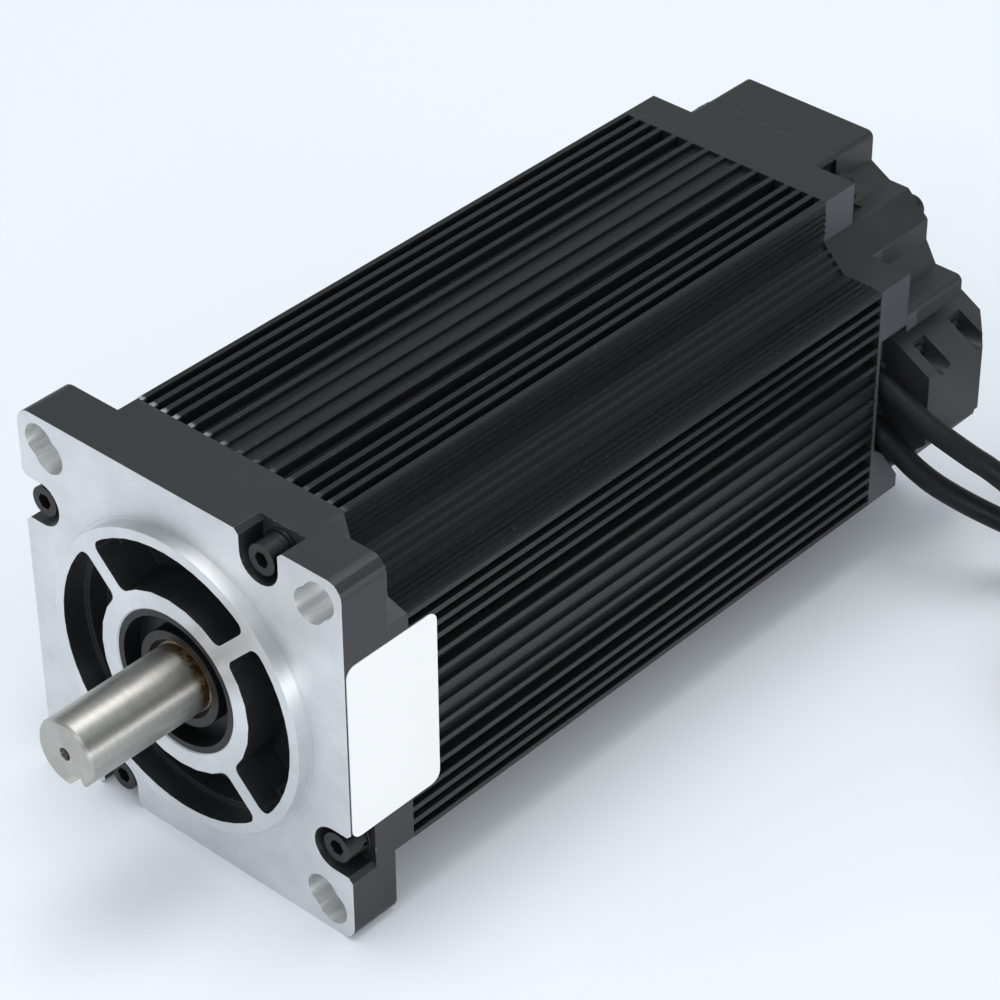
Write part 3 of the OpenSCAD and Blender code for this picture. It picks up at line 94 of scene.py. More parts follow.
class Graph:
    """Short calls for building one material's nodes. Places are in millimetres."""

    def __init__(self, name):
        self.mat = bpy.data.materials.new(name)
        self.mat.use_nodes = True
        self.tree = self.mat.node_tree
        self.tree.nodes.clear()
        self.out = self.add("ShaderNodeOutputMaterial")
        coords = self.add("ShaderNodeTexCoord")
        scale = self.add("ShaderNodeVectorMath", operation="SCALE")
        self.link(coords.outputs["Object"], scale.inputs[0])
        scale.inputs["Scale"].default_value = 1 / MM
        self.pos = scale.outputs[0]
        split = self.add("ShaderNodeSeparateXYZ")
        self.link(self.pos, split.inputs[0])
        self.x, self.y, self.z = split.outputs
        facing = self.add("ShaderNodeSeparateXYZ")
        self.link(coords.outputs["Normal"], facing.inputs[0])
        self.nx, self.ny, _ = facing.outputs

    def add(self, kind, **settings):
        node = self.tree.nodes.new(kind)
        for key, value in settings.items():
            setattr(node, key, value)
        return node

    def link(self, a, b):
        self.tree.links.new(a, b)

    def put(self, value, socket):
        if isinstance(value, bpy.types.NodeSocket):
            self.link(value, socket)
        elif isinstance(value, (tuple, list)) and socket.type == "RGBA":
            socket.default_value = (*value[:3], 1)
        else:
            socket.default_value = value

    def math(self, op, a, b=0.0, clamp=False):
        node = self.add("ShaderNodeMath", operation=op, use_clamp=clamp)
        for value, socket in zip((a, b), node.inputs):
            self.put(value, socket)
        return node.outputs[0]

    def plus(self, a, b):
        return self.math("ADD", a, b)

    def minus(self, a, b):
        return self.math("SUBTRACT", a, b)

    def size(self, a):
        return self.math("ABSOLUTE", a)

    def both(self, a, b):
        return self.math("MULTIPLY", a, b)

    def either(self, a, b):
        return self.math("MAXIMUM", a, b)

    def flip(self, a):
        return self.math("SUBTRACT", 1.0, a, clamp=True)

    def less(self, a, b):
        return self.math("LESS_THAN", a, b)

    def more(self, a, b):
        return self.math("GREATER_THAN", a, b)

    def span(self, value, low, high, to_low=0.0, to_high=1.0):
        node = self.add("ShaderNodeMapRange")
        node.clamp = True
        for v, s in zip((value, low, high, to_low, to_high), node.inputs):
            self.put(v, s)
        return node.outputs[0]

    def spread(self, noise, to_low=0.0, to_high=1.0):
        return self.span(noise, NOISE_LOW, NOISE_HIGH, to_low, to_high)

    def radius(self, a, b):
        return self.math("SQRT", self.plus(self.both(a, a), self.both(b, b)))

    def stretched(self, sx, sy, sz):
        node = self.add("ShaderNodeVectorMath", operation="MULTIPLY")
        self.link(self.pos, node.inputs[0])
        node.inputs[1].default_value = (sx, sy, sz)
        return node.outputs[0]

    def noise(self, scale, detail=3.0, rough=0.55, at=None):
        node = self.add("ShaderNodeTexNoise")
        self.link(at or self.pos, node.inputs["Vector"])
        node.inputs["Scale"].default_value = scale
        node.inputs["Detail"].default_value = detail
        node.inputs["Roughness"].default_value = rough
        return node.outputs["Fac"]

    def line_noise(self, value, scale, detail, rough=0.55):
        """Noise that changes with one value alone, such as a radius."""
        node = self.add("ShaderNodeCombineXYZ")
        self.put(value, node.inputs[0])
        return self.noise(scale, detail, rough, at=node.outputs[0])

    def mix(self, fac, a, b):
        node = self.add("ShaderNodeMix", data_type="RGBA")
        self.put(fac, node.inputs["Factor"])
        self.put(a, [s for s in node.inputs if s.name == "A" and s.type == "RGBA"][0])
        self.put(b, [s for s in node.inputs if s.name == "B" and s.type == "RGBA"][0])
        return [s for s in node.outputs if s.type == "RGBA"][0]

    def edge(self, radius_mm):
        """1 at sharp edges, 0 on flats, from how far the Bevel node turns the normal."""
        bevel = self.add("ShaderNodeBevel", samples=BEVEL_SAMPLES)
        bevel.inputs["Radius"].default_value = radius_mm * MM
        plain = self.add("ShaderNodeNewGeometry")
        dot = self.add("ShaderNodeVectorMath", operation="DOT_PRODUCT")
        self.link(bevel.outputs[0], dot.inputs[0])
        self.link(plain.outputs["Normal"], dot.inputs[1])
        return self.span(dot.outputs["Value"], EDGE_FLAT, EDGE_SHARP)

    def bump(self, height, strength, distance_mm, normal=None):
        node = self.add("ShaderNodeBump")
        self.put(height, node.inputs["Height"])
        node.inputs["Strength"].default_value = strength
        node.inputs["Distance"].default_value = distance_mm * MM
        if normal is not None:
            self.link(normal, node.inputs["Normal"])
        return node.outputs[0]

    def soft_normal(self, radius_mm):
        bevel = self.add("ShaderNodeBevel", samples=BEVEL_SAMPLES)
        bevel.inputs["Radius"].default_value = radius_mm * MM
        return bevel.outputs[0]

    def turned(self, strength):
        """Settings of a metal turned round Y, rougher across its marks than along them."""
        tangent = self.add("ShaderNodeTangent", direction_type="RADIAL", axis="Y")
        return {
            "Anisotropic": strength,
            "Anisotropic_Rotation": QUARTER_TURN,
            "Tangent": tangent.outputs[0],
        }

    def surface(self, base, metallic, rough, normal=None, **others):
        node = self.add("ShaderNodeBsdfPrincipled")
        self.put(base, node.inputs["Base Color"])
        self.put(metallic, node.inputs["Metallic"])
        self.put(rough, node.inputs["Roughness"])
        if normal is not None:
            self.link(normal, node.inputs["Normal"])
        for key, value in others.items():
            self.put(value, node.inputs[key.replace("_", " ")])
        return node.outputs[0]

    def done(self, shader):
        self.link(shader, self.out.inputs["Surface"])
        return self.mat


def paint(mat, *names):
    for name in names:
        obj = nodes[name]
        obj.data.materials.clear()
        obj.data.materials.append(mat)


# ---------------------------------------------------------------- materials
# Places on the pieces, in millimetres. R is a distance from the shaft's axis.
# A corner slot is what lies within SLOT_REACH of a line of half length SLOT_HALF, on the flange's diagonal.
FACE_BACK_Y = 0.5
WORN_BACK_Y = 16.0
PILOT_SIDE_R, PILOT_SIDE_Y = 42.0, -0.02
PILOT_FOOT_R, PILOT_FOOT_W = 43.4, 0.22
MOUTH_R, MOUTH_Y = 21.0, -3.4
SLOT_MID_R, SLOT_HALF, SLOT_REACH = 65.02, 2.16, 5.07
SLOT_WALL_Y = 0.3
POCKET_IN_R, POCKET_OUT_R, POCKET_Y = 24.8, 40.2, -3.9
BORE_R, BORE_Y = 24.5, 3.9
FIN_END_Y, BURR_END_Y = 22.1, 23.4
FIN_TIP_Z = 54.4
FEW_BURRS_X, ALL_BURRS_X = 0.0, -22.0
NOTCH_SUM, NOTCH_OUT = 80.0, 54.0
LOBE_X, LOBE_BACK_Y = 20.0, 222.0
OIL_IN_R, OIL_THICK_R, OIL_OUT_R = 8.5, 10.3, 11.8
OIL_FRONT_Y, OIL_THICK_Y = -5.0, -3.2
SHAFT_END_Y = -39.2
TRACK_IN_R, TRACK_OUT_R = 17.0, 20.5
# Radians of a sine wave: per millimetre for sheets and wires, per radian of the disc for its lines
SHEET_WAVE = 12.57
WIRE_WAVE = 5.6
TRACK_WAVE = 250.0
FACES_FRONT, FACES_RIGHT = -0.6, 0.95  # limits of the normal's Y and X
HALF_DIAGONAL = 0.7071


def bare_aluminium(g, r):
    """Base colour, roughness and bump height of machined aluminium with turning marks at radius r."""
    rings = g.line_noise(r, 3.2, 2.0)
    fine = g.line_noise(r, 11.0, 2.0)
    cloud = g.noise(0.06)
    stain = g.span(g.noise(0.16, 4.0, 0.6), 0.56, 0.74)
    base = g.mix(g.spread(cloud), (0.66, 0.67, 0.675), (0.78, 0.785, 0.79))
    base = g.mix(g.both(stain, 0.25), base, (0.52, 0.53, 0.54))
    rough = g.plus(g.spread(rings, 0.34, 0.44), g.both(cloud, 0.06))
    return base, rough, g.plus(rings, g.both(fine, 0.6))


def black_coat(g):
    """Base colour, roughness and bump height of a satin black finish on cast or machined metal."""
    grit = g.noise(3.0, 4.0, 0.6)
    cloud = g.noise(0.08)
    dust = g.span(g.noise(1.1, 5.0, 0.7), 0.66, 0.8)
    base = g.mix(cloud, (0.011, 0.011, 0.012), (0.02, 0.02, 0.021))
    base = g.mix(g.both(dust, 0.35), base, (0.06, 0.06, 0.06))
    rough = g.plus(g.spread(grit, 0.36, 0.5), g.both(cloud, 0.08))
    return base, rough, grit


def flange_places(g, r):
    """Masks of the flange: what is bare, the slots' walls, the pockets and the line at the pilot's foot."""
    face = g.both(g.less(g.ny, FACES_FRONT), g.less(g.y, FACE_BACK_Y))
    pilot_side = g.both(g.more(r, PILOT_SIDE_R), g.less(g.y, PILOT_SIDE_Y))
    mouth = g.both(g.less(r, MOUTH_R), g.less(g.y, MOUTH_Y))
    ax, az = g.size(g.x), g.size(g.z)
    along = g.both(g.plus(ax, az), HALF_DIAGONAL)
    across = g.both(g.minus(ax, az), HALF_DIAGONAL)
    beyond = g.minus(g.size(g.minus(along, SLOT_MID_R)), SLOT_HALF)
    slot = g.less(g.radius(g.either(beyond, 0.0), across), SLOT_REACH)
    bore = g.both(g.more(g.y, BORE_Y), g.less(r, BORE_R))
    bare = g.either(g.either(face, pilot_side), g.either(g.either(mouth, slot), bore))
    slot_wall = g.both(slot, g.more(g.y, SLOT_WALL_Y))
    pocket = g.both(g.both(g.more(r, POCKET_IN_R), g.less(r, POCKET_OUT_R)), g.more(g.y, POCKET_Y))
    foot = g.span(g.size(g.minus(r, PILOT_FOOT_R)), 0.0, PILOT_FOOT_W, 1.0, 0.0)
    return bare, slot_wall, pocket, g.both(foot, g.more(g.y, -FACE_BACK_Y))


def flange_material():
    g = Graph("flange_metal")
    r = g.radius(g.x, g.z)
    bare, slot_wall, pocket, foot = flange_places(g, r)
    coated = g.flip(bare)
    worn = g.both(g.edge(0.35), g.span(g.noise(0.9, 4.0, 0.7), 0.5, 0.62))
    worn = g.both(g.both(worn, g.less(g.y, WORN_BACK_Y)), 0.8)
    bare_base, bare_rough, bare_height = bare_aluminium(g, r)
    # Painted light: the slots' walls are coloured lighter than the face's aluminium, standing in for the
    # light they catch.
    bare_base = g.mix(slot_wall, bare_base, (0.93, 0.93, 0.92))
    bare_base = g.mix(g.both(foot, 0.35), bare_base, (0.45, 0.46, 0.47))
    coat_base, coat_rough, coat_height = black_coat(g)
    base = g.mix(bare, g.mix(worn, coat_base, (0.55, 0.55, 0.56)), bare_base)
    # Painted sheen: the pockets' black is lighter than the coat elsewhere, standing in for the sheen on their
    # walls.
    base = g.mix(g.both(pocket, coated), base, (0.02, 0.021, 0.023))
    coat_rough = g.minus(coat_rough, g.both(pocket, 0.16))
    rough = g.plus(g.both(bare, bare_rough), g.both(coated, coat_rough))
    normal = g.bump(bare_height, 0.12, 0.02, g.soft_normal(0.35))
    normal = g.bump(g.both(coat_height, coated), 0.25, 0.05, normal)
    metallic = g.either(bare, worn)
    return g.done(g.surface(base, metallic, rough, normal, Specular_IOR_Level=0.66, **g.turned(0.7)))


def anodised_material():
    """Black anodised extrusion: drawn lines along Y, bare burrs at the fins' front ends, nicked edges."""
    g = Graph("anodised_fins")
    lines = g.noise(2.6, 3.0, 0.6, at=g.stretched(1.0, 0.012, 1.0))
    streak = g.noise(0.5, 3.0, 0.6, at=g.stretched(1.0, 0.02, 1.0))
    speck = g.span(g.noise(1.7, 3.0, 0.6, at=g.stretched(1.0, 0.35, 1.0)), 0.64, 0.76)
    base = g.mix(streak, (0.006, 0.006, 0.007), (0.022, 0.022, 0.023))
    base = g.mix(g.both(speck, 0.5), base, (0.11, 0.11, 0.11))
    ax, az = g.size(g.x), g.size(g.z)
    inside = g.both(g.less(ax, NOTCH_OUT), g.less(az, NOTCH_OUT))
    notch = g.both(g.more(g.plus(ax, az), NOTCH_SUM), inside)
    fin_end = g.span(g.y, BURR_END_Y, FIN_END_Y)
    tip = g.both(g.more(az, FIN_TIP_Z), g.span(g.x, FEW_BURRS_X, ALL_BURRS_X, 0.12, 1.0))
    burr = g.both(g.both(fin_end, tip), g.span(g.noise(0.8, 3.0, 0.7), 0.38, 0.48))
    nick = g.both(g.edge(0.2), g.span(g.noise(0.45, 5.0, 0.75), 0.63, 0.7))
    bright = g.either(g.both(burr, 0.85), g.both(nick, 0.5))
    base = g.mix(bright, base, (0.7, 0.7, 0.7))
    normal = g.bump(lines, 0.35, 0.03, g.soft_normal(0.25))
    rough = g.spread(lines, 0.28, 0.42)
    # Painted shade: the corner notches get less shine, which darkens them as shade would.
    shine = g.minus(0.32, g.both(notch, 0.2))
    return g.done(g.surface(base, bright, rough, normal, Specular_IOR_Level=shine))


def casting_material():
    """Black castings. The lobes' faces that look to +X are smoother and coloured lighter, a painted sheen
    that stands in for the light they catch.
    """
    g = Graph("black_casting")
    base, rough, height = black_coat(g)
    worn = g.both(g.both(g.edge(0.4), g.span(g.noise(0.7, 4.0, 0.7), 0.58, 0.68)), 0.6)
    lit_right_faces = g.both(g.both(g.more(g.nx, FACES_RIGHT), g.more(g.x, LOBE_X)), g.less(g.y, LOBE_BACK_Y))
    # Painted sheen: the lobes' faces that look to +X are coloured lighter to stand in for the light they
    # catch.
    base = g.mix(lit_right_faces, base, (0.05, 0.055, 0.065))
    base = g.mix(worn, base, (0.5, 0.5, 0.5))
    normal = g.bump(height, 0.3, 0.06, g.soft_normal(0.5))
    return g.done(g.surface(base, worn, g.minus(rough, g.both(lit_right_faces, 0.12)), normal))


def plastic_material(name, low, high, rough, grain=0.2):
    g = Graph(name)
    base = g.mix(g.noise(0.15), low, high)
    grit = g.noise(5.0, 2.0)
    normal = g.bump(grit, grain, 0.03, g.soft_normal(0.3))
    return g.done(g.surface(base, 0.0, g.spread(grit, rough - 0.05, rough + 0.07), normal))


def rubber_material():
    g = Graph("black_rubber")
    cloud = g.noise(0.25)
    base = g.mix(cloud, (0.012, 0.012, 0.012), (0.024, 0.024, 0.025))
    normal = g.bump(g.noise(4.0), 0.15, 0.03, g.soft_normal(0.25))
    return g.done(g.surface(base, 0.0, g.spread(cloud, 0.42, 0.56), normal))


def oil(g, base, rough):
    """Brown oil on what lies between the shaft and the seal's lip, thickest at the upper right."""
    r = g.radius(g.x, g.z)
    ring = g.both(g.more(r, OIL_IN_R), g.span(r, OIL_OUT_R, OIL_THICK_R))
    near = g.both(ring, g.span(g.y, OIL_FRONT_Y, OIL_THICK_Y))
    upper_right = g.span(g.plus(g.x, g.z), -3.0, 10.0)
    patch = g.span(g.noise(0.5, 4.0, 0.6), 0.35, 0.6, 0.3, 1.0)
    wet = g.both(g.both(near, upper_right), patch)
    base = g.mix(g.both(wet, 0.85), base, (0.26, 0.14, 0.03))
    return base, g.minus(rough, g.both(wet, 0.15))


def seal_material():
    g = Graph("seal_rubber")
    base = g.mix(g.noise(0.4), (0.006, 0.006, 0.0065), (0.014, 0.014, 0.015))
    base, rough = oil(g, base, 0.42)
    normal = g.bump(g.noise(5.0), 0.15, 0.03, g.soft_normal(0.3))
    return g.done(g.surface(base, 0.0, rough, normal, Specular_IOR_Level=0.35))


def shaft_material():
    """Ground steel, turned at its end face."""
    g = Graph("ground_steel")
    rings = g.line_noise(g.y, 5.5, 3.0, 0.65)
    scuff = g.noise(0.35, 3.0, 0.5, at=g.stretched(1.0, 2.2, 1.0))
    end = g.less(g.y, SHAFT_END_Y)
    turned = g.line_noise(g.radius(g.x, g.z), 7.0, 2.0)
    base = g.mix(g.spread(scuff), (0.44, 0.428, 0.4), (0.5, 0.485, 0.445))
    base = g.mix(g.both(g.span(rings, 0.62, 0.78), 0.3), base, (0.3, 0.29, 0.27))
    rough = g.plus(g.spread(rings, 0.34, 0.4), g.both(scuff, 0.04))
    base, rough = oil(g, base, rough)
    height = g.plus(g.both(rings, g.flip(end)), g.both(turned, end))
    normal = g.bump(height, 0.2, 0.02, g.soft_normal(0.25))
    return g.done(g.surface(base, 1.0, rough, normal, **g.turned(0.8)))


def steel_material(name, tone, rough):
    g = Graph(name)
    cloud = g.noise(0.6, 4.0, 0.6)
    base = g.mix(cloud, tuple(c * 0.8 for c in tone), tone)
    normal = g.bump(g.noise(4.0), 0.12, 0.02, g.soft_normal(0.2))
    return g.done(g.surface(base, 1.0, g.spread(cloud, rough - 0.06, rough + 0.06), normal))


def oxide_material():
    g = Graph("black_oxide")
    cloud = g.noise(0.8, 4.0, 0.6)
    base = g.mix(cloud, (0.02, 0.019, 0.02), (0.045, 0.044, 0.045))
    base = g.mix(g.both(g.edge(0.25), 0.5), base, (0.12, 0.12, 0.12))
    normal = g.bump(g.noise(5.0), 0.2, 0.03, g.soft_normal(0.25))
    return g.done(g.surface(base, 0.7, g.spread(cloud, 0.32, 0.45), normal))


def label_material():
    g = Graph("white_label")
    base = g.mix(g.noise(0.05, 2.0), (0.95, 0.95, 0.935), (0.97, 0.97, 0.955))
    return g.done(g.surface(base, 0.0, 0.32, g.bump(g.noise(0.12, 2.0), 0.05, 0.2)))


def core_material():
    g = Graph("core_sheets")
    sheets = g.math("SINE", g.both(g.y, SHEET_WAVE))
    base = g.mix(g.noise(0.3), (0.2, 0.21, 0.23), (0.34, 0.35, 0.37))
    return g.done(g.surface(base, 0.9, 0.42, g.bump(sheets, 0.3, 0.05)))


def copper_material():
    g = Graph("enamelled_copper")
    wire = g.math("SINE", g.both(g.plus(g.x, g.z), WIRE_WAVE))
    base = g.mix(g.noise(0.4), (0.42, 0.16, 0.05), (0.62, 0.28, 0.1))
    return g.done(g.surface(base, 0.8, 0.35, g.bump(wire, 0.5, 0.15)))


def board_material():
    g = Graph("circuit_board")
    tracks = g.noise(0.35, 2.0)
    line = g.span(g.size(g.minus(tracks, 0.5)), 0.0, 0.02, 1.0, 0.0)
    base = g.mix(g.both(line, 0.6), (0.012, 0.1, 0.035), (0.05, 0.25, 0.1))
    return g.done(g.surface(base, 0.0, 0.28, g.bump(line, 0.2, 0.05)))


def disc_material():
    g = Graph("disc_glass")
    r = g.radius(g.x, g.z)
    lines = g.more(g.math("SINE", g.both(g.math("ARCTAN2", g.z, g.x), TRACK_WAVE)), 0.0)
    track = g.both(g.both(g.more(r, TRACK_IN_R), g.less(r, TRACK_OUT_R)), lines)
    base = g.mix(track, (0.75, 0.85, 0.88), (0.05, 0.05, 0.06))
    return g.done(g.surface(base, 0.0, 0.08, Transmission_Weight=0.6, IOR=1.5))


def cable_material():
    g = Graph("cable_sheath")
    cloud = g.noise(0.3)
    smear = g.span(g.noise(0.35, 4.0, 0.65), 0.55, 0.72)
    base = g.mix(cloud, (0.007, 0.007, 0.0075), (0.012, 0.012, 0.0125))
    base = g.mix(g.both(smear, 0.3), base, (0.035, 0.035, 0.037))
    normal = g.bump(g.noise(1.2), 0.1, 0.06)
    rough = g.spread(cloud, 0.4, 0.52)
    return g.done(g.surface(base, 0.0, rough, normal, Specular_IOR_Level=0.18))


casting = casting_material()
oxide = oxide_material()
rubber = rubber_material()
plastic = plastic_material("black_plastic", (0.014, 0.014, 0.015), (0.026, 0.026, 0.028), 0.42, 0.25)
outlet = plastic_material("outlet_plastic", (0.02, 0.02, 0.022), (0.034, 0.034, 0.037), 0.42, 0.25)
nylon = plastic_material("natural_nylon", (0.62, 0.6, 0.52), (0.72, 0.7, 0.62), 0.5)
bearing = steel_material("bearing_steel", (0.6, 0.6, 0.61), 0.2)
plated = steel_material("plated_steel", (0.66, 0.66, 0.64), 0.25)
turned_aluminium = steel_material("turned_aluminium", (0.78, 0.79, 0.8), 0.3)
core = core_material()

paint(flange_material(), "front_flange")
paint(anodised_material(), "housing")
paint(casting, "rear_cap", "encoder_cover")
paint(label_material(), "name_label")
paint(oxide, "flange_screws", "flange_lock_washers", "flange_washers", "rear_cap_screws", "cover_screws",
      "outlet_screws", "retaining_ring", "encoder_hub_screws")
paint(seal_material(), "shaft_seal")
paint(shaft_material(), "shaft")
paint(core, "rotor_core_1", "rotor_core_2", "rotor_core_3", "rotor_core_4", "stator_core")
paint(steel_material("magnet_grey", (0.3, 0.3, 0.32), 0.4), "rotor_magnet_1", "rotor_magnet_2")
paint(turned_aluminium, "rotor_spacer", "encoder_hub")
paint(nylon, "stator_insulator_front", "stator_insulator_rear", "front_bearing_cage", "rear_bearing_cage",
      "board_connector")
paint(copper_material(), "stator_coils")
paint(plastic_material("lead_insulation", (0.35, 0.02, 0.02), (0.5, 0.04, 0.03), 0.4), "phase_leads")
paint(bearing, "front_bearing_outer_ring", "front_bearing_inner_ring", "front_bearing_balls",
      "rear_bearing_outer_ring", "rear_bearing_inner_ring", "rear_bearing_balls", "wave_washer",
      "board_screws")
paint(rubber, "front_bearing_shields", "rear_bearing_shields", "cover_gasket", "cable_grommets",
      "encoder_leads")
paint(disc_material(), "encoder_disc")
paint(board_material(), "encoder_board")
paint(plastic_material("chip_black", (0.015, 0.015, 0.015), (0.025, 0.025, 0.025), 0.35), "encoder_reader")
paint(steel_material("turned_brass", (0.72, 0.55, 0.25), 0.25), "board_standoffs")
paint(outlet, "cable_outlet")
paint(plastic, "encoder_plug")
paint(plastic_material("tie_nylon", (0.015, 0.015, 0.015), (0.03, 0.03, 0.03), 0.4),
      "power_cable_tie", "encoder_cable_tie")
paint(plastic_material("plug_green", (0.015, 0.13, 0.045), (0.025, 0.19, 0.07), 0.4), "power_plug")
paint(plated, "encoder_plug_shell", "encoder_plug_screws")

# ---------------------------------------------------------------- cables
# Millimetres, and turns of a coil
CABLE_R = 3.25
TUBE_SIDES = 20
CURVE_STEPS = 3
PLUG_GAP = 0.05
COIL_TURNS = 2
COIL_STEPS = 24
COIL_MID_R = 35.8
COIL_PITCH = 7.6
COIL_LAYER = 7
COIL_OUT_R = COIL_MID_R + COIL_PITCH / 2
CLIMB_TURNS = 0.5
TAIL_RISE = 0.25
TAIL_WAIT = 0.1
TAIL_IN = 9.6
ENCODER_ROUTE = [
    (45.5, 211.4, 3.2), (49.2, 211.4, 2.6), (54, 211.3, 0.9), (60, 211.2, -1.6), (67.6, 211.7, -5.2),
    (74.8, 213.4, -8.7), (80.7, 215.8, -12.3), (86, 218.8, -16.1), (94.4, 224.2, -24.4),
    (103, 229.3, -33.4), (111.8, 234, -42.4), (120.8, 238.4, -48.75), (126.3, 240.8, -50.4),
    (131.8, 243.1, -50.75),
]
POWER_ROUTE = [
    (45.5, 211.4, -11.2), (49.5, 211.4, -12.9), (55, 211.3, -15.6), (61, 211.2, -18.5),
    (65.2, 211.4, -20.8), (70.4, 212.5, -23.6), (75, 214.6, -26.3), (80.1, 218, -29.8),
    (84.5, 222, -33.4), (90, 226.8, -37.6), (96.5, 231.5, -43.7), (102.9, 236.2, -48.65),
    (107.8, 239.7, -50.4), (112.7, 243.3, -50.75), (117.5, 246.8, -50.75),
]


def smooth(u):
    t = min(max(u, 0), 1)
    return t * t * (3 - 2 * t)


def heading(degrees):
    a = math.radians(degrees)
    return Vector((math.cos(a), math.sin(a), 0))


def coil_path(route, start_heading, turn, tail, top):
    """A turn inwards, a turn back out one layer higher, and a tail up to the plug.

    turn is 1 or -1, the side that the coil lies on. top is the tail's height.
    """
    end = Vector(route[-1])
    centre = end + 2 * CABLE_R * heading(start_heading) + COIL_OUT_R * turn * heading(start_heading + 90)
    steps = math.ceil((COIL_TURNS + tail) * COIL_STEPS)
    points = []
    for i in range(steps + 1):
        s = (COIL_TURNS + tail) * i / steps
        if s <= COIL_TURNS:
            radius = COIL_OUT_R - COIL_PITCH * (1 - abs(s - COIL_TURNS / 2) * 2 / COIL_TURNS)
        else:
            radius = COIL_OUT_R - TAIL_IN * smooth((s - COIL_TURNS - TAIL_WAIT) / TAIL_RISE)
        height = COIL_LAYER * smooth((s - (COIL_TURNS - CLIMB_TURNS) / 2) / CLIMB_TURNS)
        height += (top - COIL_LAYER) * smooth((s - COIL_TURNS) / TAIL_RISE)
        at = centre + radius * heading(start_heading - 90 * turn + 360 * turn * s)
        points.append(at + Vector((0, 0, height)))
    last = heading(start_heading + 360 * turn * (COIL_TURNS + tail))
    return points + [points[-1] + 2 * CABLE_R * last]


def rounded_line(points):
    """Catmull-Rom curve through the points."""
    pts = [points[0] * 2 - points[1], *points, points[-1] * 2 - points[-2]]
    out = []
    for i in range(1, len(pts) - 2):
        a, b, c, d = pts[i - 1:i + 3]
        for k in range(CURVE_STEPS):
            t = k / CURVE_STEPS
            out.append(0.5 * (2 * b + (c - a) * t + (2 * a - 5 * b + 4 * c - d) * t * t
                              + (3 * b - a - 3 * c + d) * t ** 3))
    return out + [pts[-2]]


def tube(name, line, radius, sides, mat):
    """Tube along a line in millimetres, closed at both ends, smooth shaded."""
    verts, faces = [], []
    up = Vector((0, 0, 1))
    for i, p in enumerate(line):
        along = (line[min(i + 1, len(line) - 1)] - line[max(i - 1, 0)]).normalized()
        across = along.cross(up).normalized()
        lift = across.cross(along)
        for k in range(sides):
            a = 2 * math.pi * k / sides
            verts.append((p + radius * (math.cos(a) * across + math.sin(a) * lift)) * MM)
    for i in range(len(line) - 1):
        for k in range(sides):
            a, b = i * sides + k, i * sides + (k + 1) % sides
            faces.append((a, b, b + sides, a + sides))
    faces.append(tuple(reversed(range(sides))))
    faces.append(tuple(range((len(line) - 1) * sides, len(line) * sides)))
    mesh = bpy.data.meshes.new(name)
    mesh.from_pydata([tuple(v) for v in verts], [], faces)
    mesh.polygons.foreach_set("use_smooth", [len(f) == 4 for f in faces])
    mesh.materials.append(mat)
    obj = bpy.data.objects.new(name, mesh)
    bpy.context.scene.collection.objects.link(obj)
    return obj


def line_length(line):
    return sum((b - a).length for a, b in zip(line, line[1:])) * MM


def plug_middle(thickness):
    """Height of the middle of a plug that lies on the coil."""
    return COIL_LAYER + CABLE_R + PLUG_GAP + thickness / 2


def lay_cable(name, route, start_heading, turn, tail, top, cad):
    route = [Vector(p) for p in route]
    coil = coil_path(route, start_heading, turn, tail, top)
    line = rounded_line(route + coil)
    piece = tube(name, line, CABLE_R, TUBE_SIDES, cable_material())
    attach(piece, "motor")
    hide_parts(*cad)
    print(name, "measures", round(line_length(line), 4))


lay_cable(
    "encoder_cable_run", ENCODER_ROUTE, start_heading=22, turn=-1, tail=0.37, top=plug_middle(14),
    cad=["encoder_cable", "encoder_cable_coil"],
)
lay_cable(
    "power_cable_run", POWER_ROUTE, start_heading=36, turn=1, tail=0.4, top=plug_middle(12),
    cad=["power_cable", "power_cable_coil"],
)


# ---------------------------------------------------------------- floor, world and lamps
FLOOR_COLOUR = (0.88, 0.915, 0.95)
FLOOR_HALF = 4.0
GLOW_COLOUR = (0.8, 0.86, 0.93)
GLOW_NEAR, GLOW_FAR = 0.08, 0.5
GLOW_NEAR_R, GLOW_FAR_R = 700.0, 3200.0  # millimetres
WORLD_COLOUR = (0.86, 0.92, 0.97, 1)
WORLD_TONES = ((0.0, 1.0), (0.14, 1.0), (0.22, 0.38), (0.66, 0.38), (0.84, 1.0))  # Z of the ray, tone
FILL_COLOUR = (0.9, 0.94, 1.0, 1)
FILL_STRENGTH = 0.56
LAMP_TARGET = (0.0, 0.08, 0.0)


def floor_material():
    """Pale and diffuse. Views and reflections also get a glow that grows far off, beyond the lamps' reach."""
    g = Graph("pale_floor")
    path = g.add("ShaderNodeLightPath")
    seen = g.either(path.outputs["Is Camera Ray"], path.outputs["Is Glossy Ray"])
    seen = g.either(seen, path.outputs["Is Transmission Ray"])
    diffuse = g.add("ShaderNodeBsdfDiffuse")
    g.put(FLOOR_COLOUR, diffuse.inputs["Color"])
    glow = g.add("ShaderNodeEmission")
    g.put(GLOW_COLOUR, glow.inputs["Color"])
    glowing = g.span(g.radius(g.x, g.y), GLOW_NEAR_R, GLOW_FAR_R, GLOW_NEAR, GLOW_FAR)
    g.put(g.both(seen, glowing), glow.inputs["Strength"])
    total = g.add("ShaderNodeAddShader")
    g.link(diffuse.outputs[0], total.inputs[0])
    g.link(glow.outputs[0], total.inputs[1])
    return g.done(total.outputs[0])


def make_floor():
    mesh = bpy.data.meshes.new("studio_floor")
    signs = ((-1, -1), (1, -1), (1, 1), (-1, 1))
    mesh.from_pydata([(a * FLOOR_HALF, b * FLOOR_HALF, FLOOR_Z) for a, b in signs], [], [(0, 1, 2, 3)])
    mesh.materials.append(floor_material())
    obj = bpy.data.objects.new("studio_floor", mesh)
    bpy.context.scene.collection.objects.link(obj)


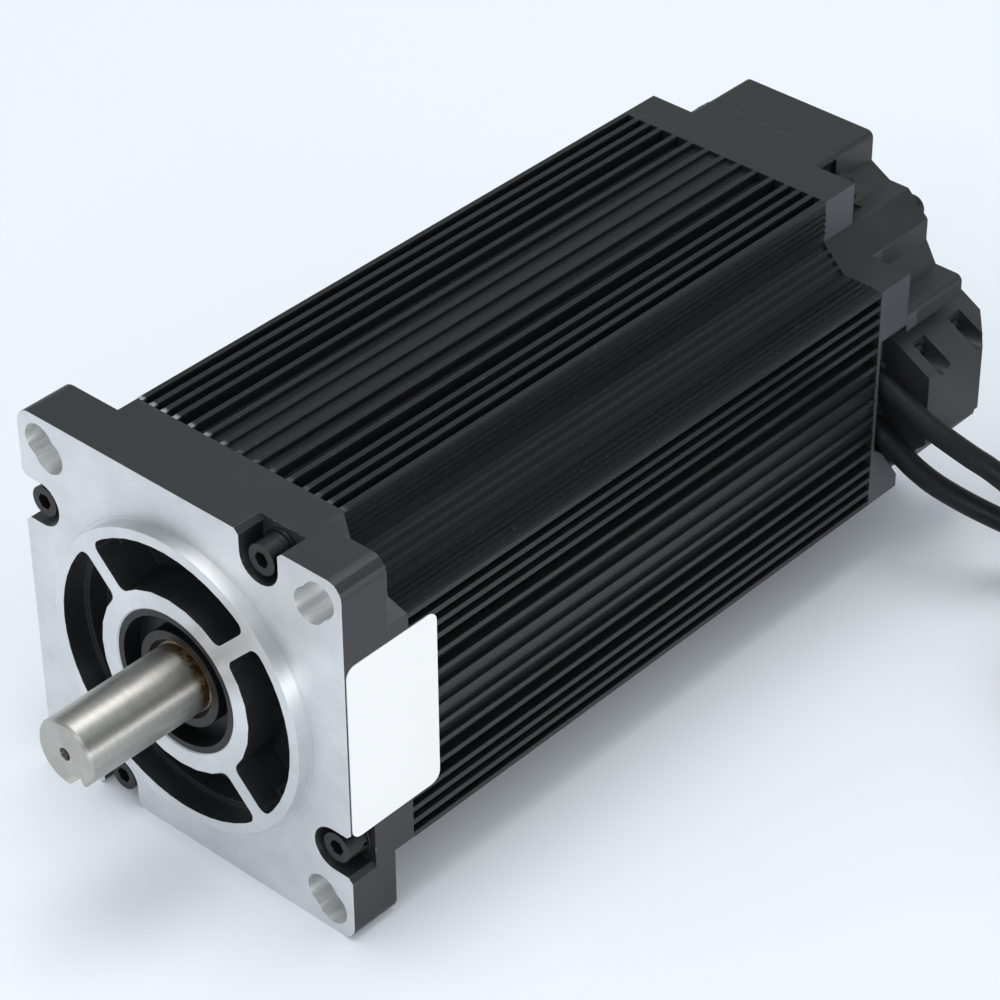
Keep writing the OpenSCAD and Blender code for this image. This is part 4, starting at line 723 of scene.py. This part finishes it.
def make_world():
    """Views and reflections get a pale backdrop with a dimmer belt, all other light an even fill."""
    world = bpy.data.worlds.new("studio_world")
    world.use_nodes = True
    tree = world.node_tree
    tree.nodes.clear()
    out = tree.nodes.new("ShaderNodeOutputWorld")
    seen = tree.nodes.new("ShaderNodeBackground")
    seen.inputs["Color"].default_value = WORLD_COLOUR
    coords = tree.nodes.new("ShaderNodeTexCoord")
    split = tree.nodes.new("ShaderNodeSeparateXYZ")
    tree.links.new(coords.outputs["Generated"], split.inputs[0])
    belt = tree.nodes.new("ShaderNodeValToRGB")
    stops = belt.color_ramp.elements
    stops.remove(stops[-1])
    for i, (place, tone) in enumerate(WORLD_TONES):
        stop = stops.new(place) if i else stops[0]
        stop.color = (tone, tone, tone, 1)
    tree.links.new(split.outputs[2], belt.inputs[0])
    tree.links.new(belt.outputs[0], seen.inputs["Strength"])
    fill = tree.nodes.new("ShaderNodeBackground")
    fill.inputs["Color"].default_value = FILL_COLOUR
    fill.inputs["Strength"].default_value = FILL_STRENGTH
    mix = tree.nodes.new("ShaderNodeMixShader")
    path = tree.nodes.new("ShaderNodeLightPath")
    shown = path.outputs["Is Camera Ray"]
    for ray in ("Is Glossy Ray", "Is Transmission Ray"):
        either = tree.nodes.new("ShaderNodeMath")
        either.operation = "MAXIMUM"
        tree.links.new(shown, either.inputs[0])
        tree.links.new(path.outputs[ray], either.inputs[1])
        shown = either.outputs[0]
    tree.links.new(shown, mix.inputs["Fac"])
    tree.links.new(fill.outputs[0], mix.inputs[1])
    tree.links.new(seen.outputs[0], mix.inputs[2])
    tree.links.new(mix.outputs[0], out.inputs["Surface"])
    bpy.context.scene.world = world


def lamp(name, place, size, power):
    data = bpy.data.lights.new(name, "AREA")
    data.shape = "RECTANGLE"
    data.size, data.size_y = size
    data.energy = power
    obj = bpy.data.objects.new(name, data)
    obj.location = place
    aim = Vector(LAMP_TARGET) - Vector(place)
    obj.rotation_mode = "QUATERNION"
    obj.rotation_quaternion = aim.to_track_quat("-Z", "Y")
    bpy.context.scene.collection.objects.link(obj)


make_floor()
make_world()
lamp("overhead_softbox", (-0.12, 0.15, 1.9), size=(1.2, 1.0), power=15.5)
lamp("right_softbox", (2.1, -0.4, 0.25), size=(1.4, 0.4), power=12.5)
lamp("front_softbox", (0.5, -1.7, 1.3), size=(1.2, 0.8), power=5.5)

scene = bpy.context.scene
scene.view_settings.view_transform = "Standard"
